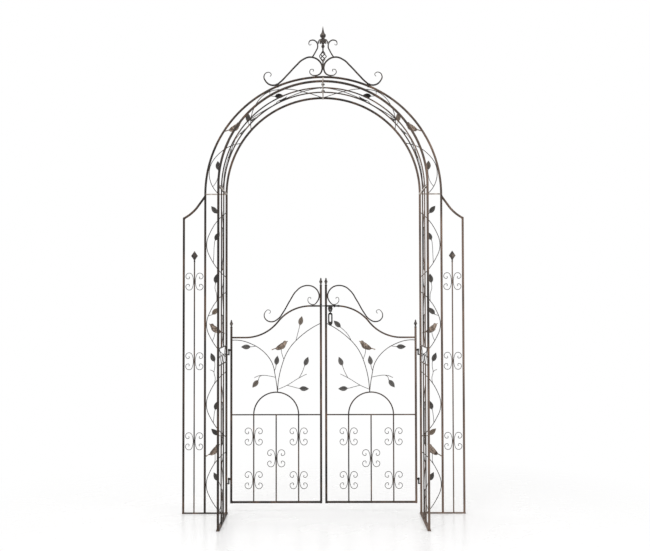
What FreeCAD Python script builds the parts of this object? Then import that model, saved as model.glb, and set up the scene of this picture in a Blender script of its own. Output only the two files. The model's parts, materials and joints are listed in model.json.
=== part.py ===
import FreeCAD, Part
import os
from math import cos, pi, radians, sin, sqrt

from FreeCAD import Vector

# Garden arch with a double gate, in millimetres.
# The origin is on the ground, in the middle of the footprint. X runs across the passage, Y from
# the front to the gate plane, Z up.

# Layout of the arch
passage_width = 1060.0  # between the axes of the left and the right posts
arch_depth = 400.0  # between the axes of the front and the back posts
spring_height = 1740.0  # where the straight posts end and the round roof begins
band_width = 117.0  # from a back post to the band post beside it
wing_width = 117.0  # from a band post to the outer post of its wing
wing_drop = 132.0  # from the spring line down to the axis of the outer post's top corner
wing_rail_rise = 122.0  # from that corner to the upper end of the curved rail
wing_bar_rise = 63.0  # from the highest joint of the band's vines up to where the spear head begins
middle_bay = 108.0  # between the two slim bars or hoops in the middle of a side panel or the roof

# Tubes, bars and wires
post_diameter = 12.0
slim_diameter = 7.0  # middle bars, middle rails and middle hoops
tube_wall = 1.0
ground_bar_width = 16.0  # under the posts of a side panel
wing_ground_bar_width = 10.0
ground_bar_height = 6.0
flat_width = 10.0
flat_thickness = 3.0
crown_flat_height = 14.0
vine_diameter = 4.0
stem_diameter = 3.0
scroll_diameter = 3.2
crest_diameter = 8.0  # big scrolls on the crown
sprig_diameter = 6.0  # small scrolls on the crown
gate_crest_diameter = 6.0
contact_gap = 0.05  # between round pieces that only touch
straight_limit = 1e-4  # a bend below this many radians is left straight

# Side panels and roof
low_rail_height = 825.0
rail_spacing = 87.0  # from the axis of the low rail to the high rail's, round the band of scrolls
vine_levels = 4  # vine bays in the height of the band
arch_bays = 2  # vine bays in each quarter of the roof
panel_bays = 2  # vine bays in each tier of a side panel
spigot_diameter = 9.0
spigot_below = 60.0
spigot_above = 20.0

# Bolts at the flat bars
bolt_diameter = 6.0
bolt_hole_clearance = 0.2
bolt_head_width = 10.0  # across the flats
bolt_head_height = 4.0
nut_height = 5.0
bolt_tail = 2.0  # past the nut
rear_bolt_place = 25.0  # behind the middle of the roof and of the side panels

# Leaves and birds
leaf_length = 51.0
leaf_width = 26.0
leaf_thickness = 1.2
leaf_fold = 16.0  # degrees that each half is folded up
leaf_widest = 0.42  # share of the length
bird_tail_reach = 52.0
bird_tail_width = 6.0
bird_tail_rise = 2.0  # of its root above the middle of the body
bird_tail_lift = 20.0  # degrees above the line of the body
bird_body_back = 30.0
bird_body_front = 27.0
bird_body_radius = 15.0
bird_head_radius = 9.5
bird_head_rise = 8.0
bird_beak_length = 9.0
bird_beak_width = 8.6
bird_beak_tip_width = 1.0
bird_wing_span = 23.0

# Small scroll groups
scroll_half_height = 46.5  # from the middle to the top of the wire's axis
wing_scroll_drop = 43.5  # middle of a wing's scroll group, below the top of a vine bay
spear_width = 37.0
spear_depth = 14.0
spear_height = 60.0
spear_widest = 0.43  # share of its height

# Crest on the crown
finial_height = 226.0
finial_foot_rise = 55.0  # its foot above the outer hoop's axis
finial_rod_diameter = 8.0
finial_spear_width = 32.0
finial_crown_width = 40.0
finial_bead_width = 18.0
finial_link_drop = 86.0  # of the links to the small scrolls, below the finial's tip
basket_width = 40.0
basket_height = 47.0
basket_drop = 190.0  # of the basket's foot, below the finial's tip
basket_wire = 3.0
basket_wires = 4
basket_collar_width = 13.2
basket_collar_height = 4.0
basket_steps = 6  # drawn points along each wire

# Gate leaves
hinge_gap = 27.0  # from the post's axis to the hinge stile's axis
lock_gap = 28.0  # between the axes of the two lock stiles
gate_bottom = 62.0
gate_cross_rail = 535.0
gate_low_rail = 955.0  # top rail beside the hinge stile
gate_high_rail = 1127.0  # top rail beside the lock stile
top_rail_diameter = 9.0
low_rail_run = 77.0  # level stretch of the top rail beside the hinge stile
high_rail_run = 57.0  # level stretch of the top rail beside the lock stile
hinge_stile_top = 1010.0
lock_stile_top = 1239.0
stile_finial_height = 42.0
stile_finial_width = 18.0
stile_finial_rim = 1.0  # past the stile's surface

# Hinges
low_hinge_height = 182.0
high_hinge_height = 882.0
hinge_pin_diameter = 6.0
hinge_pin_clearance = 0.06
hinge_eye_diameter = 11.0
hinge_eye_height = 10.0
hinge_seat_gap = 0.2
hinge_shoulder_diameter = 8.0
hinge_shoulder_height = 20.0
hinge_arm_diameter = 6.0
hinge_pin_head = 2.0  # pin standing above the eye

# Latch
bolt_rod_diameter = 6.0
bolt_axis_offset = 13.0  # in front of the lock stiles' axes
bolt_clearance = 0.5  # around the rod in its guides and its keeper
guide_size = 15.0
guide_thickness = 7.0
keeper_length = 13.0
keeper_overhang = 0.5  # past the lock stile's surface
mouth_gap = 1.0  # between the resting bolt's tip and the keeper
bolt_throw = 11.0  # from rest into the keeper
bolt_return = 8.0  # from rest away from the keeper
stop_gap = 0.5  # between the block or the knob and a guide at the end of the travel
latch_block_width = 22.0
latch_block_rise = 5.0  # above the bolt's axis
latch_block_drop = 17.0  # below the bolt's axis
latch_block_depth = 12.0
latch_ear_width = 12.0
latch_ear_gap = 5.6
latch_ear_reach = 5.0  # past the pin's axis
latch_pin_diameter = 3.0
latch_pin_drop = 27.0  # below the bolt's axis
latch_pin_clearance = 0.05
knob_diameter = 12.0
handle_length = 82.0  # from the pin's axis to the point
handle_width = 23.0
handle_thickness = 5.0
handle_neck_drop = 9.0  # from the pin's axis to the end of the neck, clear of the ears
handle_shoulder_drop = 16.0  # from the pin's axis to the full width
handle_taper = 23.0  # from the full width to the point
handle_slot_width = 9.0
handle_eye_diameter = 9.0

# Places that follow from the sizes
half_passage = passage_width / 2
front_y = -arch_depth / 2
back_y = arch_depth / 2
middle_ys = (-middle_bay / 2, middle_bay / 2)
front_bolt_y = (front_y - middle_bay / 2) / 2
band_x = -half_passage - band_width
wing_x = band_x - wing_width
wing_bar_x = band_x - wing_width / 2
outer_radius = half_passage + band_width
post_radius = post_diameter / 2
slim_radius = slim_diameter / 2
vine_bay = spring_height / vine_levels
wing_height = spring_height - wing_drop
wing_bar_top = vine_bay * (vine_levels - 1) + wing_bar_rise
high_rail_height = low_rail_height + rail_spacing
hinge_x = -half_passage + hinge_gap
lock_x = -lock_gap / 2
leaf_span = lock_x - hinge_x
arch_centre = Vector(0, 0, spring_height)
up = Vector(0, 0, 1)
right = Vector(1, 0, 0)
rear = Vector(0, 1, 0)
front = Vector(0, -1, 0)

# Ornament drawings. The first number runs across its field from 0 to 1, the second along it.
bow = [(0.0, -0.40), (0.68, -0.21), (1.0, 0.0), (0.72, 0.22), (0.0, 0.42)]
arch_bow = [(0.38, -0.27), (0.66, -0.20), (1.0, 0.0), (0.70, 0.24), (0.0, 0.44)]
crown_bow = [(0.0, -0.42), (0.70, -0.22), (1.0, 0.0), (0.78, 0.22), (0.36, 0.44), (0.0, 0.65)]
bow_peak = 0.35  # share of a vine bay
arch_bow_peak = 0.27
side_curl = [(0.30, 0.46), (0.18, 0.58), (0.08, 0.34), (0.24, 0.0), (0.42, 0.22), (0.58, 0.78), (0.76, 1.0),
             (0.92, 0.66), (0.82, 0.42), (0.70, 0.54)]
wing_rail = [(0.0, 0.0), (0.52, 0.38), (0.76, 0.68), (1.0, 1.0)]

# Half of a C-shaped scroll, from its seat on the bar to its tip: each arc's radius as a share of
# the half height, and its turn in degrees
curl_arcs = [(2.02, 22), (0.387, 68), (0.398, 90), (0.290, 90), (0.140, 90), (0.140, 60)]

# Sprays on a vine bay: the stem's points, then the leaf's tip, or the way the bird faces
low_leaf = ("leaf", [(0.20, -0.03), (0.30, -0.035), (0.40, -0.02)], (0.78, 0.06))
post_leaf = ("leaf", [(0.24, 0.06), (0.22, 0.24), (0.40, 0.41)], (0.60, 0.50))
inner_leaf = ("leaf", [(0.62, 0.13), (0.62, 0.21), (0.56, 0.295)], (0.42, 0.40))
tall_leaf = ("leaf", [(0.62, 0.14), (0.64, 0.24), (0.62, 0.35), (0.57, 0.42)], (0.36, 0.52))
peak_leaf = ("leaf", [(0.92, 0.47), (0.82, 0.475), (0.71, 0.487)], (0.44, 0.555))
upper_leaf = ("leaf", [(0.52, 0.60), (0.56, 0.68), (0.62, 0.76), (0.58, 0.84), (0.60, 0.895)], (0.77, 1.0))
swung_leaf = ("leaf", [(0.46, 0.645), (0.50, 0.74), (0.58, 0.82), (0.55, 0.88)], (0.49, 0.99))
short_leaf = ("leaf", [(0.35, 0.68), (0.40, 0.73), (0.48, 0.76)], (0.74, 0.84))
upper_twig = ("twig", [(0.62, 0.76), (0.70, 0.78), (0.82, 0.79)], None)
upper_bird = ("bird", [(0.64, 0.585), (0.57, 0.65), (0.56, 0.71), (0.57, 0.783)], (0.38, 0.823))
lower_bird = ("bird", [(0.67, 0.16), (0.60, 0.22), (0.57, 0.30)], (0.80, 0.335))
arch_bird = ("bird", [(0.56, 0.57), (0.60, 0.69), (0.74, 0.816)], (0.555, 0.906))
arch_leaf = ("leaf", [(0.64, 0.10), (0.54, 0.165), (0.52, 0.23), (0.56, 0.29)], (0.68, 0.375))
crown_leaf = ("leaf", [(0.98, 0.40), (0.82, 0.38), (0.66, 0.42)], (0.46, 0.54))
band_sprays = [
    [post_leaf, upper_bird],
    [low_leaf, inner_leaf, upper_leaf, upper_twig],
    [lower_bird, peak_leaf, swung_leaf],
    [tall_leaf, short_leaf],
]
arch_sprays = [[arch_leaf, arch_bird], [low_leaf, crown_leaf]]
panel_sprays = [[inner_leaf, short_leaf], [low_leaf, tall_leaf]]
roof_sprays = [[tall_leaf, short_leaf], [low_leaf, crown_leaf]]

# The gate's vine: across a leaf from the hinge stile, and up from the hoop's top to the top rail
gate_branches = [
    [(0.514, 0.0), (0.494, 0.21), (0.450, 0.47), (0.337, 0.73), (0.208, 0.89), (0.107, 0.945), (0.0, 0.95)],
    [(0.516, 0.0), (0.549, 0.30), (0.649, 0.545), (0.805, 0.68), (1.0, 0.80)],
]
gate_sprays = [
    ("leaf", [(0.272, 0.82), (0.242, 0.824), (0.212, 0.826)], (0.107, 0.828)),
    ("leaf", [(0.484, 0.32), (0.494, 0.36), (0.500, 0.40)], (0.514, 0.51)),
    ("twig", [(0.492, 0.22), (0.428, 0.258), (0.353, 0.288), (0.299, 0.286), (0.256, 0.258)], None),
    ("leaf", [(0.353, 0.288), (0.315, 0.27), (0.299, 0.211)], (0.234, 0.08)),
    ("bird", [(0.585, 0.43), (0.572, 0.48), (0.560, 0.54), (0.561, 0.617)], (0.741, 0.645)),
    ("twig", [(0.519, 0.04), (0.607, 0.08), (0.754, 0.167), (0.841, 0.21)], None),
    ("leaf", [(0.754, 0.17), (0.789, 0.23), (0.819, 0.31)], (0.859, 0.413)),
    ("leaf", [(0.621, 0.09), (0.686, 0.065), (0.762, 0.045)], (0.867, 0.038)),
]
left_latch_leaf = ("leaf", [(0.722, 0.615), (0.742, 0.70), (0.765, 0.79)], (0.79, 0.90))
right_latch_leaf = ("leaf", [(0.722, 0.615), (0.756, 0.68), (0.797, 0.72), (0.839, 0.755)], (0.91, 0.825))

# Scrolls on the gate's top rail (across the leaf, millimetres above the seat on the rail) and on the
# crown (millimetres along the outer hoop from where the two scrolls meet, and outside its seat)
gate_crest = [(0.421, 84.0), (0.437, 87.5), (0.413, 106.0), (0.379, 104.5), (0.367, 84.5), (0.398, 52.6),
              (0.450, 27.5), (0.530, 6.0), (0.580, 14.5), (0.655, 52.1), (0.720, 86.0), (0.786, 102.3),
              (0.853, 105.0), (0.916, 97.3), (0.962, 77.0), (0.9815, 50.0), (0.963, 19.0), (0.918, 0.0),
              (0.873, 7.5), (0.855, 26.0), (0.869, 39.5), (0.887, 37.5), (0.886, 30.5)]
crown_scroll = [(269, 57), (260, 62), (263, 77), (279, 83), (296, 70), (299, 44), (283, 11), (254, 0),
                (225, 8), (186, 29), (130, 68), (96, 93), (57, 104), (20, 86), (2, 56), (1, 30), (14, 7),
                (38, 0), (60, 8), (66, 21), (55, 36), (45, 31), (49, 24)]
crown_sprig = [(46, 103), (28, 134), (19, 158), (22, 182), (38, 197), (55, 186), (53, 171), (46, 175)]

# The bird: its body's outline as shares of the radius and of the reach behind or ahead of the
# middle, and its wing's corners in millimetres ahead of and above the middle
bird_body = [(0.3, -1.0), (0.78, -0.5), (1.0, 0.0), (0.9, 0.5), (0.5, 1.0)]
bird_wing = [(13.5, 4.0), (-6.0, 11.0), (-39.5, 3.0), (-6.0, -5.0)]

# Outlines of turned pieces. The first number is a share of the width. The second is a share of the
# crown finial's height below its tip, or of a stile finial's height above its foot.
finial_spear = [(0.025, 0.0), (0.134, 0.102), (0.244, 0.155), (0.425, 0.199), (0.50, 0.235), (0.425, 0.270),
                (0.188, 0.310)]
finial_crown = [(0.30, 0.323), (0.50, 0.354), (0.50, 0.389)]
finial_rod = (0.412, 0.451)
finial_bead = [(0.50, 0.478), (0.50, 0.504)]
finial_rod_below = 0.527
stile_finial_body = [(0.22, 0.16), (0.22, 0.30), (0.50, 0.42), (0.50, 0.50), (0.30, 0.68), (0.04, 1.0)]
stile_finial_collar = 0.08


def direction(vector):
    """The vector at unit length."""
    return vector / vector.Length


def arc_between(start, corner, end):
    """The round arc that touches start-corner and corner-end, two legs of one length."""
    leg = (corner - start).Length
    to_chord = (start + end) / 2 - corner
    cosine = to_chord.Length / leg
    if cosine < straight_limit:
        return Part.LineSegment(start, end).toShape()
    sine = (end - start).Length / 2 / leg
    middle = corner + direction(to_chord) * (leg * (1 - sine) / cosine)
    return Part.Arc(start, middle, end).toShape()


def curved_route(points, first=None, last=None):
    """A smooth route through the points, of pairs of tangent arcs."""
    steps = [b - a for a, b in zip(points, points[1:])]
    ways = [direction(a / a.Length ** 2 + b / b.Length ** 2) for a, b in zip(steps, steps[1:])]
    ways.insert(0, first or mirrored_way(steps[0], ways[0] if ways else steps[0]))
    ways.append(last or mirrored_way(steps[-1], ways[-1]))
    edges = []
    for start, end, leave, arrive in zip(points, points[1:], ways, ways[1:]):
        chord = end - start
        spread = 2 * (1 - leave.dot(arrive))
        along = chord.dot(leave + arrive)
        if spread < straight_limit ** 2:
            reach = chord.Length ** 2 / (2 * along)
        else:
            reach = (sqrt(along ** 2 + spread * chord.Length ** 2) - along) / spread
        first_corner = start + leave * reach
        last_corner = end - arrive * reach
        middle = (first_corner + last_corner) / 2
        edges.append(arc_between(start, first_corner, middle))
        edges.append(arc_between(middle, last_corner, end))
    return Part.Wire(edges)


def mirrored_way(step, way):
    """The direction at the other end of one arc over the step."""
    along = direction(step)
    return direction(along * (2 * along.dot(way)) - way)


def arc_chain(start, size, arcs):
    """Tangent arcs that leave a flat start point straight up and turn clockwise, three points each."""
    across, along = start
    heading = pi / 2
    chain = []
    for share, degrees in arcs:
        radius = share * size
        places = [(across, along)]
        for turn in (radians(degrees) / 2, radians(degrees)):
            places.append((across + radius * (sin(heading) - sin(heading - turn)),
                           along + radius * (cos(heading - turn) - cos(heading))))
        chain.append(places)
        heading -= radians(degrees)
        across, along = places[-1]
    return chain


def bar(start, end, diameter, wall=0.0):
    """A straight round bar, hollow where a wall is given."""
    run = end - start
    solid = Part.makeCylinder(diameter / 2, run.Length, start, run)
    if wall:
        solid = solid.cut(Part.makeCylinder(diameter / 2 - wall, run.Length, start, run))
    return solid


def bent_bar(route, diameter, wall=0.0):
    """A round bar along a route, hollow where a wall is given."""
    edge = route.Edges[0]
    start = edge.valueAt(edge.FirstParameter)
    way = edge.tangentAt(edge.FirstParameter)
    solid = route.makePipeShell([Part.Wire(Part.Circle(start, way, diameter / 2).toShape())], True, False)
    if wall:
        bore = Part.Wire(Part.Circle(start, way, diameter / 2 - wall).toShape())
        solid = solid.cut(route.makePipeShell([bore], True, False))
    return solid


def block(low, high):
    """A box between two corners."""
    size = high - low
    return Part.makeBox(size.x, size.y, size.z, low)


def trimmed(piece, *neighbours):
    """The piece cut back to its neighbours' surfaces. Its largest part stays."""
    rest = piece.cut(list(neighbours))
    return max(rest.Solids, key=lambda solid: solid.Volume)


def carrying(piece, ends, neighbours):
    """The parts of a branching piece outside its neighbours that hold one of the stems' ends."""
    rest = piece.cut(list(neighbours))
    return [solid for solid in rest.Solids
            if any(solid.distToShape(Part.Vertex(end))[0] < stem_diameter for end in ends)]


def turned(profile):
    """A solid of revolution about the Z axis, from points (radius, height) joined by straight lines."""
    points = [Vector(radius, 0, height) for radius, height in profile]
    face = Part.Face(Part.makePolygon(points + points[:1]))
    return face.revolve(Vector(), up, 360)


def placed(shape, origin, x_way, z_way):
    """The shape moved from the origin's axes to a place with the given X and Z directions."""
    rotation = FreeCAD.Rotation(x_way, z_way.cross(x_way), z_way, "XZY")
    return shape.transformed(FreeCAD.Placement(origin, rotation).toMatrix())


def mirrored(shape):
    """The shape on the other side of the passage."""
    return shape.mirror(Vector(), right)


def both_sides(shapes):
    """The left shapes and their mirror images."""
    return list(shapes) + [mirrored(shape) for shape in shapes]


def save(name, solids):
    """Writes one sub-part."""
    Part.makeCompound(solids).exportStep(f"parts/{name}.step")
    flawed = [solid for solid in solids if not solid.isValid() or len(solid.Solids) != 1]
    volume = sum(solid.Volume for solid in solids)
    print(f"{name}: {len(solids)} solids, {volume / 1000:.2f} cm3, flawed {len(flawed)}")


# Leaves and birds


def leaf_shape():
    """A leaf of sheet metal from the origin along X, folded up along its midrib."""
    halves = []
    for side in (1, -1):
        heel = Vector(0, side * stem_diameter / 2, 0)
        belly = Vector(leaf_length * leaf_widest, side * leaf_width / 2, 0)
        tip = Vector(leaf_length, 0, 0)
        rim = Part.Arc(heel, belly, tip).toShape()
        outline = Part.Wire([Part.makeLine(Vector(), heel), rim, Part.makeLine(tip, Vector())])
        half = Part.Face(outline).extrude(Vector(0, 0, leaf_thickness))
        half.rotate(Vector(), right, side * leaf_fold)
        halves.append(half)
    whole = halves[0].fuse(halves[1])
    return whole.Solids[0]


def bird_shape():
    """A small cast bird that faces along X, with its back up along Z."""
    outline = [(width * bird_body_radius, share * (bird_body_front if share > 0 else bird_body_back))
               for width, share in bird_body]
    profile = [(0, -bird_body_back), *outline, (0, bird_body_front)]
    body = placed(turned(profile), Vector(), up, right)
    neck = Vector(bird_body_front - bird_head_radius / 2, 0, bird_head_rise)
    head = Part.makeSphere(bird_head_radius, neck)
    beak_reach = bird_head_radius + bird_beak_length
    beak = Part.makeCone(bird_beak_width / 2, bird_beak_tip_width / 2, beak_reach, neck, right)
    tail_root = Vector(-bird_body_back / 2, 0, bird_tail_rise)
    tail = block(Vector(-bird_tail_reach, -bird_tail_width / 2, bird_tail_rise - bird_tail_width / 2),
                 Vector(-bird_body_back / 2, bird_tail_width / 2, bird_tail_rise + bird_tail_width / 2))
    tail.rotate(tail_root, rear, bird_tail_lift)
    shoulder, upper, tip, lower = [Vector(ahead, 0, above) for ahead, above in bird_wing]
    wing_edges = [Part.Arc(shoulder, upper, tip).toShape(), Part.Arc(tip, lower, shoulder).toShape()]
    wings = Part.Face(Part.Wire(wing_edges)).extrude(Vector(0, bird_wing_span, 0))
    wings.translate(Vector(0, -bird_wing_span / 2, 0))
    return body.fuse([head, beak, tail, wings]).Solids[0]


leaf_pattern = leaf_shape()
bird_pattern = bird_shape()


def nearest(point, route):
    """The route's closest point."""
    return route.distToShape(Part.Vertex(point))[1][0][0]


def vine(point_at, facing_at, trunks, sprays, stops):
    """A welded vine with its leaves and birds. The trunks end at the stops' surfaces."""
    routes = [curved_route([point_at(*place) for place in trunk]) for trunk in trunks]
    wires = [bent_bar(route, vine_diameter) for route in routes]
    stem_routes = list(routes)
    ends = []
    leaves = []
    birds = []
    for kind, stem, aim in sprays:
        points = [point_at(*place) for place in stem]
        root = min((nearest(points[0], route) for route in stem_routes), key=points[0].distanceToPoint)
        points[0] = root
        ends.append(points[-1])
        last = None
        if aim:
            last = direction(point_at(*aim) - points[-1])
        facing = facing_at(*stem[-1])
        if kind == "leaf":
            leaves.append(placed(leaf_pattern, points[-1], last, facing))
        if kind == "bird":
            back = facing.cross(last)
            if back.z < 0:
                back = -back
            birds.append(trimmed(placed(bird_pattern, points[-1], last, back), *stops))
            last = None
        stem_route = curved_route(points, None, last)
        stem_routes.append(stem_route)
        wires.append(bent_bar(stem_route, stem_diameter))
    whole = wires[0].fuse(wires[1:]) if len(wires) > 1 else wires[0]
    return carrying(whole, ends, [*stops, *birds]), leaves, birds


# Posts and rails


def post(x, y):
    """An upright tube from the ground bar to the spring line."""
    return bar(Vector(x, y, ground_bar_height), Vector(x, y, spring_height), post_diameter, tube_wall)


front_post = post(-half_passage, front_y)
back_post = post(-half_passage, back_y)
band_post = post(band_x, back_y)
posts = [front_post, back_post]

half_ground_bar = ground_bar_width / 2
ground_bar = block(Vector(-half_passage - half_ground_bar, front_y - half_ground_bar, 0),
                   Vector(-half_passage + half_ground_bar, back_y + half_ground_bar, ground_bar_height))
wing_ground_bar = block(Vector(wing_x - post_radius, back_y - wing_ground_bar_width / 2, 0),
                        Vector(-half_passage - half_ground_bar, back_y + wing_ground_bar_width / 2,
                               ground_bar_height))
tier_rails = [trimmed(bar(Vector(-half_passage, front_y, height), Vector(-half_passage, back_y, height),
                          slim_diameter), *posts) for height in (low_rail_height, high_rail_height)]


def flats(bottom):
    """The flat bars at the spring line, one along the side panel and one across the band."""
    top = bottom + flat_thickness
    side = block(Vector(-half_passage - flat_width / 2, front_y, bottom),
                 Vector(-half_passage + flat_width / 2, back_y - flat_width / 2, top))
    band = block(Vector(band_x, back_y - flat_width / 2, bottom),
                 Vector(-half_passage - flat_width / 2, back_y + flat_width / 2, top))
    sleeves = [bar(Vector(x, y, bottom), Vector(x, y, top), post_diameter)
               for x, y in ((-half_passage, front_y), (-half_passage, back_y), (band_x, back_y))]
    return trimmed(side, *sleeves), trimmed(band, *sleeves)


def side_bar(y, bottom, top):
    """A slim upright bar of the side panel."""
    return bar(Vector(-half_passage, y, bottom), Vector(-half_passage, y, top), slim_diameter)


lower_bars = [trimmed(side_bar(y, ground_bar_height, low_rail_height), *tier_rails) for y in middle_ys]
upper_bars = [trimmed(side_bar(y, high_rail_height, spring_height - flat_thickness), *tier_rails)
              for y in middle_ys]


def side_scroll(sign):
    """An S-shaped scroll between the two tier rails, in the front or the rear half of the side panel."""
    low = low_rail_height + slim_radius + scroll_diameter / 2 + contact_gap
    rise = high_rail_height - low_rail_height - slim_diameter - scroll_diameter - 2 * contact_gap
    run = arch_depth / 2 - post_radius - scroll_diameter / 2
    places = [(sign * across * run, low + rise * height) for across, height in side_curl]
    return bent_bar(curved_route([Vector(-half_passage, y, z) for y, z in places]), scroll_diameter)


side_scrolls = [side_scroll(1), side_scroll(-1)]

# Hoops of the roof


def quarter(radius, y, diameter, wall=0.0):
    """A left quarter hoop from the spring line to the crown."""
    middle = radius * cos(pi / 4)
    arc = Part.Arc(Vector(-radius, y, spring_height), Vector(-middle, y, spring_height + middle),
                   Vector(0, y, spring_height + radius))
    return bent_bar(Part.Wire(arc.toShape()), diameter, wall)


crown_height = spring_height + half_passage
outer_crown_height = spring_height + outer_radius
crown_flat_top = crown_height + crown_flat_height / 2
crown_flat = block(Vector(-flat_thickness, front_y - post_radius, crown_height - crown_flat_height / 2),
                   Vector(0, back_y + post_radius, crown_flat_top))
band_crown_flat = block(Vector(-flat_thickness, back_y - flat_width / 2, crown_flat_top),
                        Vector(0, back_y + flat_width / 2, outer_crown_height + post_radius))
crown_plate = crown_flat.fuse(band_crown_flat).Solids[0]
foot_flats = flats(spring_height)
head_flats = flats(spring_height - flat_thickness)

front_hoop = trimmed(quarter(half_passage, front_y, post_diameter, tube_wall), crown_plate)
back_hoop = trimmed(quarter(half_passage, back_y, post_diameter, tube_wall), crown_plate)
outer_hoop = trimmed(quarter(outer_radius, back_y, post_diameter, tube_wall), crown_plate)
middle_hoops = [trimmed(quarter(half_passage, y, slim_diameter), crown_plate, foot_flats[0])
                for y in middle_ys]


def spigot(x, y):
    """The round plug inside a tube joint at the spring line."""
    return bar(Vector(x, y, spring_height - spigot_below), Vector(x, y, spring_height + spigot_above),
               spigot_diameter)


spigots = [spigot(-half_passage, front_y), spigot(-half_passage, back_y), spigot(band_x, back_y)]


def hexagon(across_flats, height):
    """A hexagonal prism that stands on the origin."""
    corner = across_flats / 2 / cos(pi / 6)
    points = [Vector(corner * cos(k * pi / 3), corner * sin(k * pi / 3), 0) for k in range(7)]
    return Part.Face(Part.makePolygon(points)).extrude(Vector(0, 0, height))


def fastener(middle, way):
    """A bolt and its nut through two flat bars that meet at the middle point."""
    grip = 2 * flat_thickness
    shank_length = grip + nut_height + bolt_tail
    shank = Part.makeCylinder(bolt_diameter / 2, shank_length)
    head = hexagon(bolt_head_width, bolt_head_height)
    head.translate(Vector(0, 0, -bolt_head_height))
    bolt = shank.fuse(head)
    nut = hexagon(bolt_head_width, nut_height).cut(Part.makeCylinder(bolt_diameter / 2, nut_height))
    nut.translate(Vector(0, 0, grip))
    start = middle - way * flat_thickness
    side = rear if abs(way.dot(rear)) < 0.5 else right
    return [placed(shape, start, side, way).Solids[0] for shape in (bolt, nut)]


def bolt_hole(middle, way):
    """The round hole for one bolt."""
    radius = bolt_diameter / 2 + bolt_hole_clearance
    return Part.makeCylinder(radius, 2 * crown_flat_height, middle - way * crown_flat_height, way)


bolt_ys = (front_bolt_y, rear_bolt_place)
crown_bolts = [Vector(0, y, crown_height) for y in bolt_ys]
foot_bolts = [Vector(-half_passage, y, spring_height) for y in bolt_ys]
fasteners = []
for middle in crown_bolts:
    crown_plate = crown_plate.cut(bolt_hole(middle, right))
    fasteners += fastener(middle, right)
left_fasteners = []
for middle in foot_bolts:
    hole = bolt_hole(middle, up)
    foot_flats = [flat.cut(hole) for flat in foot_flats]
    head_flats = [flat.cut(hole) for flat in head_flats]
    left_fasteners += fastener(middle, up)
fasteners += both_sides(left_fasteners)

# Wings

corner = Vector(wing_x, back_y, wing_height)
wing_foot = Vector(wing_x, back_y, ground_bar_height)
wing_post = bar(wing_foot, corner + up * post_diameter, post_diameter, tube_wall)
wing_rail_route = curved_route([corner + right * (wing_width * across) + up * (wing_rail_rise * rise)
                                for across, rise in wing_rail])
first_edge = wing_rail_route.Edges[0]
rail_way = first_edge.tangentAt(first_edge.FirstParameter)
mitre_way = direction(rail_way + up)
mitre_half = Vector(1, 1, 0) * (4 * post_diameter)
mitre_depth = up * mitre_half.x
above_mitre = placed(block(-mitre_half, mitre_half + mitre_depth), corner, rear, mitre_way)
below_mitre = placed(block(-mitre_half - mitre_depth, mitre_half), corner, rear, mitre_way)
wing_post = trimmed(wing_post, above_mitre)
rail_start = Part.makeLine(corner - rail_way * post_diameter, corner)
wing_top_rail = bent_bar(Part.Wire([rail_start] + wing_rail_route.Edges), post_diameter, tube_wall)
wing_top_rail = trimmed(wing_top_rail, below_mitre, band_post)

wing_bar = bar(Vector(wing_bar_x, back_y, ground_bar_height), Vector(wing_bar_x, back_y, wing_bar_top),
               slim_diameter)


def spear_section(width, depth, height):
    """A four-sided section with its corners to the sides, the front and the rear."""
    side = right * (width / 2)
    back = rear * (depth / 2)
    polygon = Part.makePolygon([side, back, -side, -back, side])
    polygon.translate(Vector(0, 0, height))
    return polygon


spear_sections = [spear_section(slim_diameter, slim_diameter, 0),
                  spear_section(spear_width, spear_depth, spear_height * spear_widest),
                  spear_section(flat_thickness, flat_thickness, spear_height)]
wing_spear = Part.makeLoft(spear_sections, True, True)
wing_spear.translate(Vector(wing_bar_x, back_y, wing_bar_top))


def scroll_group(x, z):
    """Two C-shaped scrolls, back to back on an upright slim bar."""
    seat = slim_radius + scroll_diameter / 2 + contact_gap
    upper = arc_chain((seat, 0), scroll_half_height, curl_arcs)
    lower = [[(across, -along) for across, along in reversed(places)] for places in reversed(upper)]
    group = []
    for side in (1, -1):
        arcs = [[Vector(x + side * across, back_y, z + along) for across, along in places]
                for places in lower + upper]
        group.append(bent_bar(Part.Wire([Part.Arc(*arc).toShape() for arc in arcs]), scroll_diameter))
    return group


wing_scrolls = []
for level in range(1, vine_levels):
    wing_scrolls += scroll_group(wing_bar_x, vine_bay * level - wing_scroll_drop)

# Vines of the band, the side panels and the roof

band_reach = band_width - post_radius - vine_diameter / 2 - contact_gap
bay_reach = middle_bay - slim_radius - vine_diameter / 2 - contact_gap
quarter_turn = pi / 2


def facing_front(across, along):
    return front


def facing_inward(across, along):
    return right


def roof_outward(angle):
    """The direction from the roof's axis at an angle above the left spring line."""
    return Vector(-cos(angle), 0, sin(angle))


def shifted(trunk, peak):
    """The drawing of a bow, moved along its bay to its peak."""
    return [(across, along + peak) for across, along in trunk]


def laid_vines(trunks, sprays, point_of, facing_of, stops):
    """A row of vine bays: the welded vines, the leaves and the birds."""
    vines, leaves, birds = [], [], []
    for number, trunk in enumerate(trunks):
        made = vine(point_of(number), facing_of(number), [trunk], sprays[number % len(sprays)], stops)
        vines += made[0]
        leaves += made[1]
        birds += made[2]
    return vines, leaves, birds


def band_point(number):
    return lambda across, along: Vector(-half_passage - across * band_reach, back_y,
                                        vine_bay * (number + along))


def arch_point(number):
    def point(across, along):
        angle = quarter_turn * (number + along) / arch_bays
        return arch_centre + rear * back_y + roof_outward(angle) * (half_passage + across * band_reach)
    return point


def roof_point(number):
    def point(across, along):
        angle = quarter_turn * (number + along) / arch_bays
        return arch_centre + rear * (middle_ys[0] + across * bay_reach) + roof_outward(angle) * half_passage
    return point


def roof_facing(number):
    return lambda across, along: -roof_outward(quarter_turn * (number + along) / arch_bays)


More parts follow.
